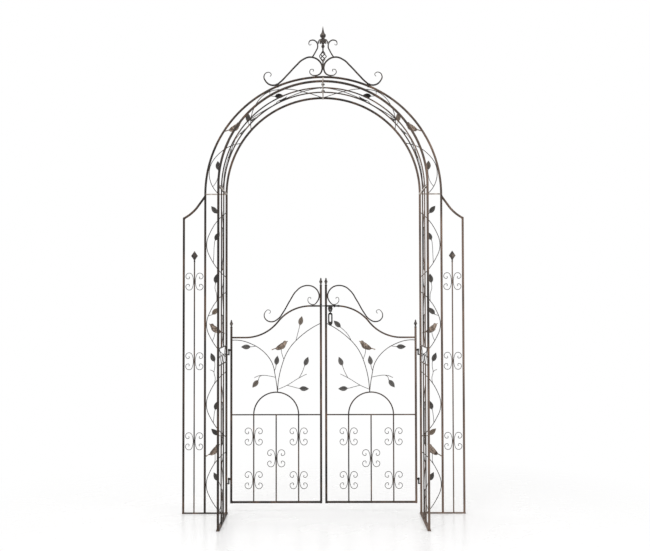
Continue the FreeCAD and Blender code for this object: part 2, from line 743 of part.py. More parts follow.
def panel_point(bottom, top):
    bay = (top - bottom) / panel_bays

    def for_bay(number):
        return lambda across, along: Vector(-half_passage, middle_ys[0] + across * bay_reach,
                                            bottom + bay * (number + along))
    return for_bay


arch_trunks = [shifted(arch_bow, arch_bow_peak)] * (arch_bays - 1) + [shifted(crown_bow, bow_peak)]
band_vines, band_leaves, birds = laid_vines([shifted(bow, bow_peak)] * vine_levels, band_sprays, band_point,
                                            lambda number: facing_front,
                                            [back_post, band_post, wing_ground_bar, *head_flats])
roof_stops = [crown_plate, *foot_flats, *head_flats]
arch_vines, arch_leaves, arch_birds = laid_vines(arch_trunks, arch_sprays, arch_point,
                                                 lambda number: facing_front,
                                                 [back_hoop, outer_hoop, *roof_stops])
roof_vines, roof_leaves, _ = laid_vines(arch_trunks, roof_sprays, roof_point, roof_facing,
                                        [*middle_hoops, *roof_stops])
panel_trunks = [shifted(bow, bow_peak)] * panel_bays
side_vines, side_leaves = [], []
for bottom, top, bars in ((ground_bar_height, low_rail_height - slim_radius, lower_bars),
                          (high_rail_height + slim_radius, spring_height - flat_thickness, upper_bars)):
    vines, leaves, _ = laid_vines(panel_trunks, panel_sprays, panel_point(bottom, top),
                                  lambda number: facing_inward, [*bars, *tier_rails, ground_bar, *head_flats])
    side_vines += vines
    side_leaves += leaves

# Crest on the crown


def over_hoop(along, out):
    """A place outside the outer hoop, on the left of the crown."""
    angle = (along + crest_diameter / 2) / outer_radius
    radius = outer_radius + (post_diameter + crest_diameter) / 2 + out
    return Vector(-sin(angle) * radius, back_y, spring_height + cos(angle) * radius)


finial_foot = outer_crown_height + finial_foot_rise
finial_tip = finial_foot + finial_height
basket_low = finial_tip - basket_drop
basket_high = basket_low + basket_height
rod_radius = finial_rod_diameter / 2
collar_radius = basket_collar_width / 2
head_drop = basket_drop - basket_height

head_profile = [(0, 0)]
for width, outline in ((finial_spear_width, finial_spear), (finial_crown_width, finial_crown),
                       (finial_rod_diameter, [(0.5, share) for share in finial_rod]),
                       (finial_bead_width, finial_bead), (finial_rod_diameter, [(0.5, finial_rod_below)])):
    head_profile += [(across * width, -drop * finial_height) for across, drop in outline]
head_profile += [(rod_radius, basket_collar_height - head_drop), (collar_radius, -head_drop),
                 (0, -head_drop)]
finial_head = turned(head_profile)
finial_head.translate(Vector(0, back_y, finial_tip))
foot_profile = [(0, 0), (collar_radius, 0), (rod_radius, -basket_collar_height),
                (rod_radius, finial_foot - basket_low), (0, finial_foot - basket_low)]
finial_foot_rod = turned(foot_profile)
finial_foot_rod.translate(Vector(0, back_y, basket_low))


def basket_strand(number):
    """One bowed and twisted wire of the basket inside the finial."""
    points = []
    for step in range(basket_steps + 1):
        share = step / basket_steps
        angle = 2 * pi * number / basket_wires + pi * share
        radius = basket_wire + (basket_width / 2 - basket_wire * 1.5) * sin(pi * share)
        points.append(Vector(radius * cos(angle), back_y + radius * sin(angle),
                             basket_low + basket_height * share))
    return trimmed(bent_bar(curved_route(points), basket_wire), finial_foot_rod, finial_head)


basket = [basket_strand(number) for number in range(basket_wires)]
scroll_route = curved_route([over_hoop(*place) for place in crown_scroll])
sprig_route = curved_route([over_hoop(*place) for place in crown_sprig])
crown_scroll_wire = trimmed(bent_bar(scroll_route, crest_diameter), outer_hoop, crown_plate)
sprig_wire = trimmed(bent_bar(sprig_route, sprig_diameter), crown_scroll_wire, finial_head)
link_height = finial_tip - finial_link_drop
link = trimmed(bar(Vector(-finial_crown_width, back_y, link_height), Vector(0, back_y, link_height),
                   stem_diameter), sprig_wire, finial_head)
finial_foot_rod = trimmed(finial_foot_rod, crown_scroll_wire, mirrored(crown_scroll_wire))

# Hinges

pin_x = -half_passage + hinge_gap / 2
hinge_heights = (low_hinge_height, high_hinge_height)


def hinge_hook(height):
    """A hook on the back post: an arm, a shoulder that carries the eye, and the pin."""
    eye_bottom = height - hinge_seat_gap
    arm_height = eye_bottom - hinge_shoulder_height
    base = Vector(pin_x, back_y, arm_height)
    arm = bar(Vector(-half_passage, back_y, arm_height), base, hinge_arm_diameter)
    shoulder = Part.makeCylinder(hinge_shoulder_diameter / 2, hinge_shoulder_height + hinge_arm_diameter / 2,
                                 base - up * (hinge_arm_diameter / 2), up)
    pin = Part.makeCylinder(hinge_pin_diameter / 2, hinge_seat_gap + hinge_eye_height + hinge_pin_head,
                            Vector(pin_x, back_y, eye_bottom), up)
    return trimmed(arm.fuse([shoulder, pin]), back_post)


hinge_hooks = [hinge_hook(height) for height in hinge_heights]

# Gate leaf, drawn on the left

bar_pitch = leaf_span / 4
hoop_top = gate_cross_rail + bar_pitch
rail_start_x = hinge_x + low_rail_run
rail_end_x = lock_x - high_rail_run
rail_run = rail_end_x - rail_start_x
rail_rise = gate_high_rail - gate_low_rail
sweep_radius = (rail_run ** 2 + rail_rise ** 2) / (4 * rail_rise)


def rail_height(x):
    """The top rail's axis over a place on the left leaf."""
    if x <= rail_start_x:
        return gate_low_rail
    if x >= rail_end_x:
        return gate_high_rail
    if x < (rail_start_x + rail_end_x) / 2:
        return gate_low_rail + sweep_radius - sqrt(sweep_radius ** 2 - (x - rail_start_x) ** 2)
    return gate_high_rail - sweep_radius + sqrt(sweep_radius ** 2 - (x - rail_end_x) ** 2)


def on_rail(x):
    return Vector(x, back_y, rail_height(x))


def gate_bar(x, bottom, top, diameter, wall=0.0):
    """An upright bar of the leaf."""
    return bar(Vector(x, back_y, bottom), Vector(x, back_y, top), diameter, wall)


stile_foot = gate_bottom - post_radius
hinge_stile = gate_bar(hinge_x, stile_foot, hinge_stile_top, post_diameter, tube_wall)
lock_stile = gate_bar(lock_x, stile_foot, lock_stile_top, post_diameter, tube_wall)
stiles = [hinge_stile, lock_stile]

bottom_rail = trimmed(bar(Vector(hinge_x, back_y, gate_bottom), Vector(lock_x, back_y, gate_bottom),
                          post_diameter, tube_wall), *stiles)
sweep_points = [on_rail(rail_start_x + rail_run * step / 4) for step in range(5)]
ogee = Part.Wire([
    Part.makeLine(on_rail(hinge_x), sweep_points[0]),
    Part.Arc(*sweep_points[:3]).toShape(),
    Part.Arc(*sweep_points[2:]).toShape(),
    Part.makeLine(sweep_points[-1], on_rail(lock_x)),
])
top_rail = trimmed(bent_bar(ogee, top_rail_diameter), *stiles)

left_bar_x = hinge_x + bar_pitch
middle_x = hinge_x + 2 * bar_pitch
right_bar_x = hinge_x + 3 * bar_pitch
hooped_route = Part.Wire([
    Part.makeLine(Vector(left_bar_x, back_y, gate_bottom), Vector(left_bar_x, back_y, gate_cross_rail)),
    Part.Arc(Vector(left_bar_x, back_y, gate_cross_rail), Vector(middle_x, back_y, hoop_top),
             Vector(right_bar_x, back_y, gate_cross_rail)).toShape(),
    Part.makeLine(Vector(right_bar_x, back_y, gate_cross_rail), Vector(right_bar_x, back_y, gate_bottom)),
])
hooped_bar = trimmed(bent_bar(hooped_route, slim_diameter), bottom_rail)
whole_cross_rail = bar(Vector(hinge_x, back_y, gate_cross_rail), Vector(lock_x, back_y, gate_cross_rail),
                       slim_diameter)
cross_rails = [solid for solid in whole_cross_rail.cut([*stiles, hooped_bar]).Solids
               if solid.Length > bar_pitch]
middle_bar = trimmed(gate_bar(middle_x, gate_bottom, gate_cross_rail, slim_diameter), bottom_rail,
                     *cross_rails)

panel_rise = gate_cross_rail - gate_bottom
gate_scrolls = scroll_group(middle_x, gate_bottom + panel_rise / 2)
for x in (left_bar_x, right_bar_x):
    for share in (1 / 4, 3 / 4):
        gate_scrolls += scroll_group(x, gate_bottom + panel_rise * share)


def over_rail(across, rise):
    """A place for the crest scroll above the leaf's top rail."""
    x = hinge_x + leaf_span * across
    seat = (top_rail_diameter + gate_crest_diameter) / 2
    return Vector(x, back_y, rail_height(x) + seat + rise)


def in_leaf(across, along):
    """A place between the leaf's hoop and its top rail."""
    x = hinge_x + leaf_span * across
    return Vector(x, back_y, hoop_top + (rail_height(x) - hoop_top) * along)


crest_wire = bent_bar(curved_route([over_rail(*place) for place in gate_crest]), gate_crest_diameter)
crest_wire = trimmed(crest_wire, top_rail, lock_stile)


def stile_finial(x, height):
    """A turned finial that closes a stile."""
    collar = post_radius + stile_finial_rim
    body = [(across * stile_finial_width, rise * stile_finial_height) for across, rise in stile_finial_body]
    finial = turned([(0, 0), (collar, 0), (collar, stile_finial_collar * stile_finial_height), *body,
                     (0, stile_finial_height)])
    finial.translate(Vector(x, back_y, height))
    return finial


stile_finials = [stile_finial(hinge_x, hinge_stile_top), stile_finial(lock_x, lock_stile_top)]


def hinge_eye(height):
    """The ring on the hinge stile that turns on a hook's pin."""
    centre = Vector(pin_x, back_y, height)
    ring = Part.makeCylinder(hinge_eye_diameter / 2, hinge_eye_height, centre, up)
    tab = block(centre + Vector(0, -hinge_eye_diameter / 4, 0),
                centre + Vector(hinge_gap / 2, hinge_eye_diameter / 4, hinge_eye_height))
    bore = Part.makeCylinder(hinge_pin_diameter / 2 + hinge_pin_clearance, hinge_eye_height, centre, up)
    return trimmed(ring.fuse(tab).cut(bore), hinge_stile)


hinge_eyes = [hinge_eye(height) for height in hinge_heights]


def leaf_vine(latch_leaf):
    """The branching vine of one leaf."""
    return vine(in_leaf, facing_front, gate_branches, gate_sprays + [latch_leaf],
                [hooped_bar, top_rail, *stiles])


# Latch, on the right leaf in front of the lock stiles

bolt_y = back_y - bolt_axis_offset
bolt_z = gate_high_rail
right_lock_x = -lock_x
keeper_mouth = lock_x + post_radius + keeper_overhang
bolt_tip = keeper_mouth + mouth_gap
bore_radius = bolt_rod_diameter / 2 + bolt_clearance


def guide(low_x, high_x, *backing):
    """A square lug with a bore for the bolt, seated on the round pieces behind it."""
    lug = block(Vector(low_x, bolt_y - guide_size / 2, bolt_z - guide_size / 2),
                Vector(high_x, back_y - post_radius / 2, bolt_z + guide_size / 2))
    bore = Part.makeCylinder(bore_radius, high_x - low_x, Vector(low_x, bolt_y, bolt_z), right)
    return trimmed(lug.cut(bore), *backing)


right_lock_stile = mirrored(lock_stile)
right_top_rail = mirrored(top_rail)
near_guide_x = right_lock_x - post_radius
block_low_x = near_guide_x + guide_thickness + stop_gap + bolt_throw
block_x = block_low_x + latch_block_width / 2
far_guide_x = block_low_x + latch_block_width + bolt_return + stop_gap
knob_x = far_guide_x + guide_thickness + stop_gap + bolt_throw + knob_diameter / 2
near_guide = guide(near_guide_x, near_guide_x + guide_thickness, right_lock_stile)
far_guide = guide(far_guide_x, far_guide_x + guide_thickness, right_top_rail)
keeper = guide(keeper_mouth - keeper_length, keeper_mouth, lock_stile, top_rail)
latch_pin_z = bolt_z - latch_pin_drop


def plate(outline, thickness):
    """A flat plate in the gate's plane, around the bolt's plane. The outline counts from the pin's axis."""
    face_y = bolt_y - thickness / 2
    points = [Vector(block_x + across, face_y, latch_pin_z + rise) for across, rise in outline]
    return Part.Face(Part.makePolygon(points + points[:1])).extrude(rear * thickness)


def pin_bore(diameter, length):
    """A round piece on the axis of the handle's pin."""
    return Part.makeCylinder(diameter / 2, length, Vector(block_x - length / 2, bolt_y, latch_pin_z), right)


def latch_bolt_shape():
    """The sliding bolt: rod, tapered block with two ears, and knob."""
    rod = bar(Vector(bolt_tip, bolt_y, bolt_z), Vector(knob_x, bolt_y, bolt_z), bolt_rod_diameter)
    half = latch_block_width / 2
    ear = latch_ear_width / 2
    neck = latch_pin_drop - latch_block_drop
    body = plate([(-half, latch_pin_drop + latch_block_rise), (-half, latch_pin_drop - latch_block_rise),
                  (-ear, neck), (-ear, -latch_ear_reach), (ear, -latch_ear_reach), (ear, neck),
                  (half, latch_pin_drop - latch_block_rise), (half, latch_pin_drop + latch_block_rise)],
                 latch_block_depth)
    slit_half = latch_ear_gap / 2
    slit_low = -2 * latch_ear_reach
    slit = plate([(-slit_half, neck), (-slit_half, slit_low), (slit_half, slit_low), (slit_half, neck)],
                 2 * latch_block_depth)
    knob = Part.makeSphere(knob_diameter / 2, Vector(knob_x, bolt_y, bolt_z))
    return rod.fuse([body, knob]).cut([slit, pin_bore(latch_pin_diameter, 2 * latch_ear_width)]).Solids[0]


def latch_handle_shape():
    """The hanging handle: a pointed loop below an eye."""
    half = handle_width / 2
    eye_width = handle_thickness
    neck = eye_width / 2
    point = -handle_length
    low = point + handle_taper
    loop = plate([(-neck, 0), (-neck, -handle_neck_drop), (-half, -handle_shoulder_drop), (-half, low),
                  (0, point), (half, low), (half, -handle_shoulder_drop), (neck, -handle_neck_drop),
                  (neck, 0)], handle_thickness)
    slot_half = handle_slot_width / 2
    slot = plate([(-slot_half, -handle_shoulder_drop - slot_half), (-slot_half, low),
                  (slot_half, low), (slot_half, -handle_shoulder_drop - slot_half)], 2 * handle_thickness)
    eye = pin_bore(handle_eye_diameter, eye_width)
    hole = pin_bore(latch_pin_diameter + 2 * latch_pin_clearance, eye_width)
    return loop.cut(slot).fuse(eye).cut(hole).Solids[0]


latch_bolt = latch_bolt_shape()
latch_handle = latch_handle_shape()
latch_pin = pin_bore(latch_pin_diameter, latch_ear_width)

# Sub-parts

os.makedirs("parts", exist_ok=True)
save("left_front_post", [front_post])
save("left_back_post", [back_post])
save("right_front_post", [mirrored(front_post)])
save("right_back_post", [mirrored(back_post)])
save("band_posts", both_sides([band_post]))
save("side_rails", both_sides(tier_rails))
save("side_bars", both_sides(lower_bars + upper_bars))
save("side_scrolls", both_sides(side_scrolls))
save("side_vines", both_sides(side_vines))
save("side_leaves", both_sides(side_leaves))
save("ground_bars", both_sides([ground_bar, wing_ground_bar]))
save("spring_flats", both_sides([*head_flats, *foot_flats]))
save("crown_flats", both_sides([crown_plate]))
save("panel_fasteners", fasteners)
save("spigots", both_sides(spigots))
save("front_hoops", both_sides([front_hoop]))
save("back_hoops", both_sides([back_hoop]))
save("middle_hoops", both_sides(middle_hoops))
save("outer_hoops", both_sides([outer_hoop]))
save("roof_vines", both_sides(roof_vines))
save("roof_leaves", both_sides(roof_leaves))
save("band_vines", both_sides(band_vines + arch_vines))
save("band_leaves", both_sides(band_leaves + arch_leaves))
save("band_birds", both_sides(birds + arch_birds))
save("wing_posts", both_sides([wing_post]))
save("wing_bars", both_sides([wing_bar]))
save("wing_spears", both_sides([wing_spear]))
save("wing_top_rails", both_sides([wing_top_rail]))
save("wing_scrolls", both_sides(wing_scrolls))
save("crest_scrolls", both_sides([crown_scroll_wire, sprig_wire, link]))
save("crest_finial", [finial_head, finial_foot_rod, *basket])
save("hinge_hooks", both_sides(hinge_hooks))

leaf_pieces = {
    "hinge_stile": [hinge_stile],
    "lock_stile": [lock_stile],
    "rails": [bottom_rail, *cross_rails],
    "top_rail": [top_rail],
    "bars": [hooped_bar, middle_bar],
    "scrolls": gate_scrolls,
    "crest_scroll": [crest_wire],
    "finials": stile_finials,
    "hinge_eyes": hinge_eyes,
}
for name, solids in leaf_pieces.items():
    save(f"gate_left_{name}", solids)
    save(f"gate_right_{name}", [mirrored(solid) for solid in solids])
branches, leaves, birds = leaf_vine(left_latch_leaf)
save("gate_left_vine", branches)
save("gate_left_leaves", leaves)
save("gate_left_bird", birds)
branches, leaves, birds = leaf_vine(right_latch_leaf)
save("gate_right_vine", [mirrored(branch) for branch in branches])
save("gate_right_leaves", [mirrored(leaf) for leaf in leaves])
save("gate_right_bird", [mirrored(bird) for bird in birds])
save("latch_keeper", [keeper])
save("latch_guides", [near_guide, far_guide])
save("latch_bolt", [latch_bolt, latch_pin])
save("latch_handle", [latch_handle])
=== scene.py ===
"""A garden arch with a double gate, in dark antique-painted metal, in a plain white studio.

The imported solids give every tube, bar and bent wire. Leaves, birds, finials, spear heads, bolts, weld
beads and the latch are shaped here as a foundry and a smith make them. The sizes of these small shapes
are written in millimetres, and places in the scene in metres.
"""
import heapq
import json
from math import atan2, cos, exp, pi, radians, sin, sqrt, tan

import bmesh
import bpy
import numpy as np
from mathutils import Matrix, Vector
from mathutils.bvhtree import BVHTree

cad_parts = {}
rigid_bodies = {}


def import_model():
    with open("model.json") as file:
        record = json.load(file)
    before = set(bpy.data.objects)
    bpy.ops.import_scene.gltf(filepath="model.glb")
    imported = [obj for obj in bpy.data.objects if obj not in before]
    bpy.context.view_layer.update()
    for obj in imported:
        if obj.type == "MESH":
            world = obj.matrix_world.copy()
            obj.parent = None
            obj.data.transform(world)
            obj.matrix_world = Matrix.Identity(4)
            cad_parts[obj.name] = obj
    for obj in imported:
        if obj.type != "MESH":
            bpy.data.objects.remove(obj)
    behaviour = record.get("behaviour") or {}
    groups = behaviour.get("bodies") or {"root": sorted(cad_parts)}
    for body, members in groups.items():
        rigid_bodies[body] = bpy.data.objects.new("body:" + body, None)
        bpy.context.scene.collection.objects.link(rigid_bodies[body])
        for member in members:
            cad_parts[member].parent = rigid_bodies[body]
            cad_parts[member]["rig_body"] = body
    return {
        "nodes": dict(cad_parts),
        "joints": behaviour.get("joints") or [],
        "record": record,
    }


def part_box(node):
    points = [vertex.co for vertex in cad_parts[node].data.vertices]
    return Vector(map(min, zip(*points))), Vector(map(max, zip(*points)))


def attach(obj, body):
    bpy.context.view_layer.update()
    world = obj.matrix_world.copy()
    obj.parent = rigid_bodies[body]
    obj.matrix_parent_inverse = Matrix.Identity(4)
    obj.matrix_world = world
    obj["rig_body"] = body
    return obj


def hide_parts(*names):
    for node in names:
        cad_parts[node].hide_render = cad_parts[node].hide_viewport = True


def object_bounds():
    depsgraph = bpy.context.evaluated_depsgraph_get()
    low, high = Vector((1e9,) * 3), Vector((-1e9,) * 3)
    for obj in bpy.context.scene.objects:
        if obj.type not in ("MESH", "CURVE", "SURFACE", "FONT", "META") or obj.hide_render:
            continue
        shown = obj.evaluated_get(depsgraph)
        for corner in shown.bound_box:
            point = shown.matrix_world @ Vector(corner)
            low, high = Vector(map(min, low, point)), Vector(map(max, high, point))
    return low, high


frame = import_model()
nodes = frame["nodes"]
body_of_node = {name: node["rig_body"] for name, node in nodes.items()}
slot_of_node = {part["node"]: part["material_slot"] for part in frame["record"]["subparts"]}
solid_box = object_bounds()

MM = 0.001
micrometre = 1e-6
back_plane = 0.2  # the plane of the gate, the wings and the crest
crown_from = 2.2  # the height above which parts belong to the crown
plain_size = (1.0, 1.0, 1.0)
along_x = Matrix.Rotation(radians(90), 4, "Y")


# Meshes


def mm(x, y, z):
    """A place or a way, from millimetres to metres."""
    return Vector((x, y, z)) * MM


def turns(count):
    """Angles all the way round in equal steps."""
    return [2 * pi * k / count for k in range(count)]


def islands(name):
    """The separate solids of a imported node: for each, its points and its triangles."""
    mesh = nodes[name].data
    spots = np.zeros(len(mesh.vertices) * 3)
    mesh.vertices.foreach_get("co", spots)
    places, merged = np.unique(np.round(spots.reshape(-1, 3) * (1 / micrometre)).astype(np.int64), axis=0,
                               return_inverse=True)
    mesh.calc_loop_triangles()
    corners = np.zeros(len(mesh.loop_triangles) * 3, np.int32)
    mesh.loop_triangles.foreach_get("vertices", corners)
    corners = merged.ravel()[corners.reshape(-1, 3)]
    label = np.arange(len(places))
    while True:
        lowest = label[corners].min(axis=1)
        joined = label.copy()
        for side in range(3):
            np.minimum.at(joined, corners[:, side], lowest)
        while not np.array_equal(joined, joined[joined]):
            joined = joined[joined]
        if np.array_equal(joined, label):
            break
        label = joined
    found = []
    for mark in np.unique(label):
        own = np.flatnonzero(label == mark)
        number = np.full(len(places), -1)
        number[own] = np.arange(len(own))
        found.append((places[own] * micrometre, number[corners[label[corners[:, 0]] == mark]]))
    return found


def box_of(points):
    """The lowest and the highest corner of some points."""
    return points.min(axis=0), points.max(axis=0)


def in_scene(name, data):
    """A new object in the scene."""
    thing = bpy.data.objects.new(name, data)
    bpy.context.scene.collection.objects.link(thing)
    return thing


def mesh_from(name, work):
    """A mesh from a bmesh, with its faces pointing out."""
    bmesh.ops.recalc_face_normals(work, faces=work.faces)
    mesh = bpy.data.meshes.new(name)
    work.to_mesh(mesh)
    work.free()
    return mesh


def add_piece(name, mesh, finish, body, smooth):
    """A shown object that rides on a body. Edges sharper than smooth, in degrees, stay sharp."""
    piece = in_scene(name, mesh)
    mesh.materials.clear()
    mesh.materials.append(finish)
    mesh.polygons.foreach_set("use_smooth", [True] * len(mesh.polygons))
    mesh.set_sharp_from_angle(angle=radians(smooth))
    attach(piece, body)
    return piece


def stand_in(node, name, mesh, finish, smooth):
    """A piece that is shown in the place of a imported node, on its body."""
    piece = add_piece(name, mesh, finish, body_of_node[node], smooth)
    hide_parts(node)


def skin(work, rings, looped=False):
    """Joins rings of points with quads, and closes the ends with fans or joins the last ring to the first."""
    rows = [[work.verts.new(point) for point in ring] for ring in rings]
    count = len(rows[0])
    for low, high in zip(rows, rows[1:] + rows[:1] if looped else rows[1:]):
        for i in range(count):
            j = (i + 1) % count
            work.faces.new((low[i], low[j], high[j], high[i]))
    for row in () if looped else (rows[0], rows[-1]):
        middle = work.verts.new(sum((vert.co for vert in row), Vector()) / count)
        for i in range(count):
            work.faces.new((row[i], row[(i + 1) % count], middle))


def lathe(work, profile, sides, place=Matrix.Identity(4), flutes=(0, 0.0, 0.0, 1.0)):
    """A turned form from (radius, height) points. Flutes are a count, a depth, and the height and the spread
    of where they are deepest."""
    count, deepest, level, spread = flutes
    rings = []
    for radius, height in profile:
        deep = deepest * exp(-((height - level) / spread) ** 2)
        reach = [radius * MM * (1 - deep * (0.5 - 0.5 * cos(count * turn))) for turn in turns(sides)]
        rings.append([place @ Vector((r * cos(turn), r * sin(turn), height * MM))
                      for r, turn in zip(reach, turns(sides))])
    skin(work, rings)


def smooth_profile(points, steps=3):
    """More points along a drawn profile, rounded between the drawn ones."""
    fine = []
    padded = [points[0]] + list(points) + [points[-1]]
    for a, b, c, d in zip(padded, padded[1:], padded[2:], padded[3:]):
        for step in range(steps):
            t = step / steps
            fine.append(tuple(0.5 * (2 * q + (r - p) * t + (2 * p - 5 * q + 4 * r - s) * t * t
                                     + (3 * q - p - 3 * r + s) * t ** 3)
                              for p, q, r, s in zip(a, b, c, d)))
    return fine + [points[-1]]


# Node trees


def adder(tree):
    """A way to add a node to a tree: its kind, its inputs as sockets or values, and its settings. It gives
    back the output that is asked for, or all of them for None."""
    def add(kind, links=(), out=0, **settings):
        node = tree.nodes.new(kind)
        for name, value in settings.items():
            setattr(node, name, value)
        for name, source in dict(links).items():
            target = node.inputs[name]
            if isinstance(source, bpy.types.NodeSocket):
                tree.links.new(source, target)
            else:
                target.default_value = source
        return node.outputs if out is None or not node.outputs else node.outputs[out]

    return add


def maths(add, kind, *parts):
    """The result of a sum on sockets or numbers."""
    return add("ShaderNodeMath", dict(enumerate(parts)), operation=kind)


def new_tree(name, sizes):
    """A tree of geometry nodes with named sizes, the way to add to it, and its inputs."""
    tree = bpy.data.node_groups.new(name, "GeometryNodeTree")
    tree.interface.new_socket("Geometry", in_out="INPUT", socket_type="NodeSocketGeometry")
    for label, kind, value in sizes:
        socket = tree.interface.new_socket(label, in_out="INPUT", socket_type=f"NodeSocket{kind}")
        if value is not None:
            socket.default_value = value
    tree.interface.new_socket("Geometry", in_out="OUTPUT", socket_type="NodeSocketGeometry")
    add = adder(tree)
    return tree, add, add("NodeGroupInput", out=None)


def finish_tree(add, given, source):
    """Ends a tree in Realize Instances and Set Material."""
    real = add("GeometryNodeRealizeInstances", {"Geometry": source})
    painted = add("GeometryNodeSetMaterial", {"Geometry": real, "Material": given["Finish"]})
    add("NodeGroupOutput", {"Geometry": painted})


def grow(name, base, tree, values):
    """Runs a tree on a mesh and gives back its result as a plain mesh."""
    maker = in_scene(name, base)
    modifier = maker.modifiers.new("Grow", "NODES")
    modifier.node_group = tree
    for item in tree.interface.items_tree:
        if item.in_out == "INPUT" and item.name in values:
            modifier[item.identifier] = values[item.name]
    shown = maker.evaluated_get(bpy.context.evaluated_depsgraph_get())
    mesh = bpy.data.meshes.new_from_object(shown)
    maker.modifiers.clear()
    bpy.data.objects.remove(maker)
    mesh.name = name
    return mesh


def seats_mesh(name, seats):
    """Loose points that carry the way, the facing and the size of what sits on them."""
    mesh = bpy.data.meshes.new(name)
    mesh.from_pydata([tuple(seat[0]) for seat in seats], [], [])
    for label, column in (("way", 1), ("facing", 2), ("size", 3)):
        layer = mesh.attributes.new(label, "FLOAT_VECTOR", "POINT")
        layer.data.foreach_set("vector", [value for seat in seats for value in seat[column]])
    return mesh


def seat_value(add, label):
    """What the seats carry under a label."""
    return add("GeometryNodeInputNamedAttribute", {"Name": label}, "Attribute", data_type="FLOAT_VECTOR")


def repeat_tree():
    """Repeats a pattern on seats: turned by way and facing, scaled by size, with a tone of its own."""
    tree, add, given = new_tree("repeat_on_seats", [("Pattern", "Object", None), ("Seed", "Int", 7),
                                                    ("Finish", "Material", None)])
    turn = add("FunctionNodeAxesToRotation", {0: seat_value(add, "way"), 1: seat_value(add, "facing")},
               primary_axis="X", secondary_axis="Z")
    shape = add("GeometryNodeObjectInfo", {"Object": given["Pattern"]}, "Geometry")
    laid = add("GeometryNodeInstanceOnPoints", {"Points": given["Geometry"], "Instance": shape,
                                                "Rotation": turn, "Scale": seat_value(add, "size")})
    tone = add("FunctionNodeRandomValue", {"Seed": given["Seed"]}, 1, data_type="FLOAT")
    kept = add("GeometryNodeStoreNamedAttribute", {"Geometry": laid, "Name": "tone", "Value": tone},
               data_type="FLOAT", domain="INSTANCE")
    finish_tree(add, given, kept)
    return tree


on_seats = repeat_tree()


def repeated(name, pattern, seats, seed, finish):
    """A mesh that repeats a pattern, which is kept out of the scene, on its seats."""
    return grow(name, seats_mesh(name, seats), on_seats, {"Pattern": pattern, "Seed": seed, "Finish": finish})


# Finishes

cloud_scale, patch_scale, grain_scale, speck_scale = 11.0, 23.0, 120.0, 620.0
lit_side_from, lit_side_to, lit_side_share = 0.10, 0.75, 0.62  # painted light: where and how strongly the paint turns paler towards +X, the side where the light falls stronger
vein_count, vein_slant, vein_width = 7, 1.3, 0.16  # of a leaf's side veins


def finish_nodes(name):
    """A new material with an empty tree, and a way to add a node to it."""
    finish = bpy.data.materials.new(name)
    finish.use_nodes = True
    finish.node_tree.nodes.clear()
    return finish, adder(finish.node_tree)


def ramp(add, source, low, high):
    """A share that eases from 0 at low to 1 at high."""
    return add("ShaderNodeMapRange", {"Value": source, "From Min": low, "From Max": high},
               interpolation_type="SMOOTHSTEP")


def span(add, source, low, high, first, last):
    """A value that runs evenly from first at low to last at high."""
    return add("ShaderNodeMapRange", {"Value": source, "From Min": low, "From Max": high, "To Min": first,
                                      "To Max": last})


def times(add, first, second):
    """The product of two shares."""
    return maths(add, "MULTIPLY", first, second)


def blend_colours(add, share, first, second):
    """One colour turning into another. Either may be a socket."""
    first, second = (colour if isinstance(colour, bpy.types.NodeSocket) else (*colour, 1.0)
                     for colour in (first, second))
    return add("ShaderNodeMix", {0: share, 6: first, 7: second}, 2, data_type="RGBA")


def leaf_veins(add, colour, height, copper):
    """Dark pressed veins along the leaf's own map, and a tone of its own for each leaf."""
    along, across, _ = add("ShaderNodeSeparateXYZ", {0: add("ShaderNodeUVMap", uv_map="leaf")}, None)
    side = maths(add, "ABSOLUTE", maths(add, "SUBTRACT", across, 0.5))
    run = maths(add, "MULTIPLY_ADD", along, vein_count, times(add, side, -2 * vein_slant))
    vein = span(add, maths(add, "PINGPONG", run, 0.5), 0.0, vein_width, 1.0, 0.0)
    line = maths(add, "MAXIMUM", vein, span(add, side, 0.02, 0.07, 1.0, 0.0))
    own = add("ShaderNodeAttribute", out="Fac", attribute_name="tone", attribute_type="GEOMETRY")
    colour = blend_colours(add, times(add, ramp(add, own, 0.86, 1.0), 0.6), colour, copper)
    colour = blend_colours(add, times(add, line, 0.55), colour, (0.018, 0.015, 0.013))
    return colour, maths(add, "MULTIPLY_ADD", line, -1.2, height)


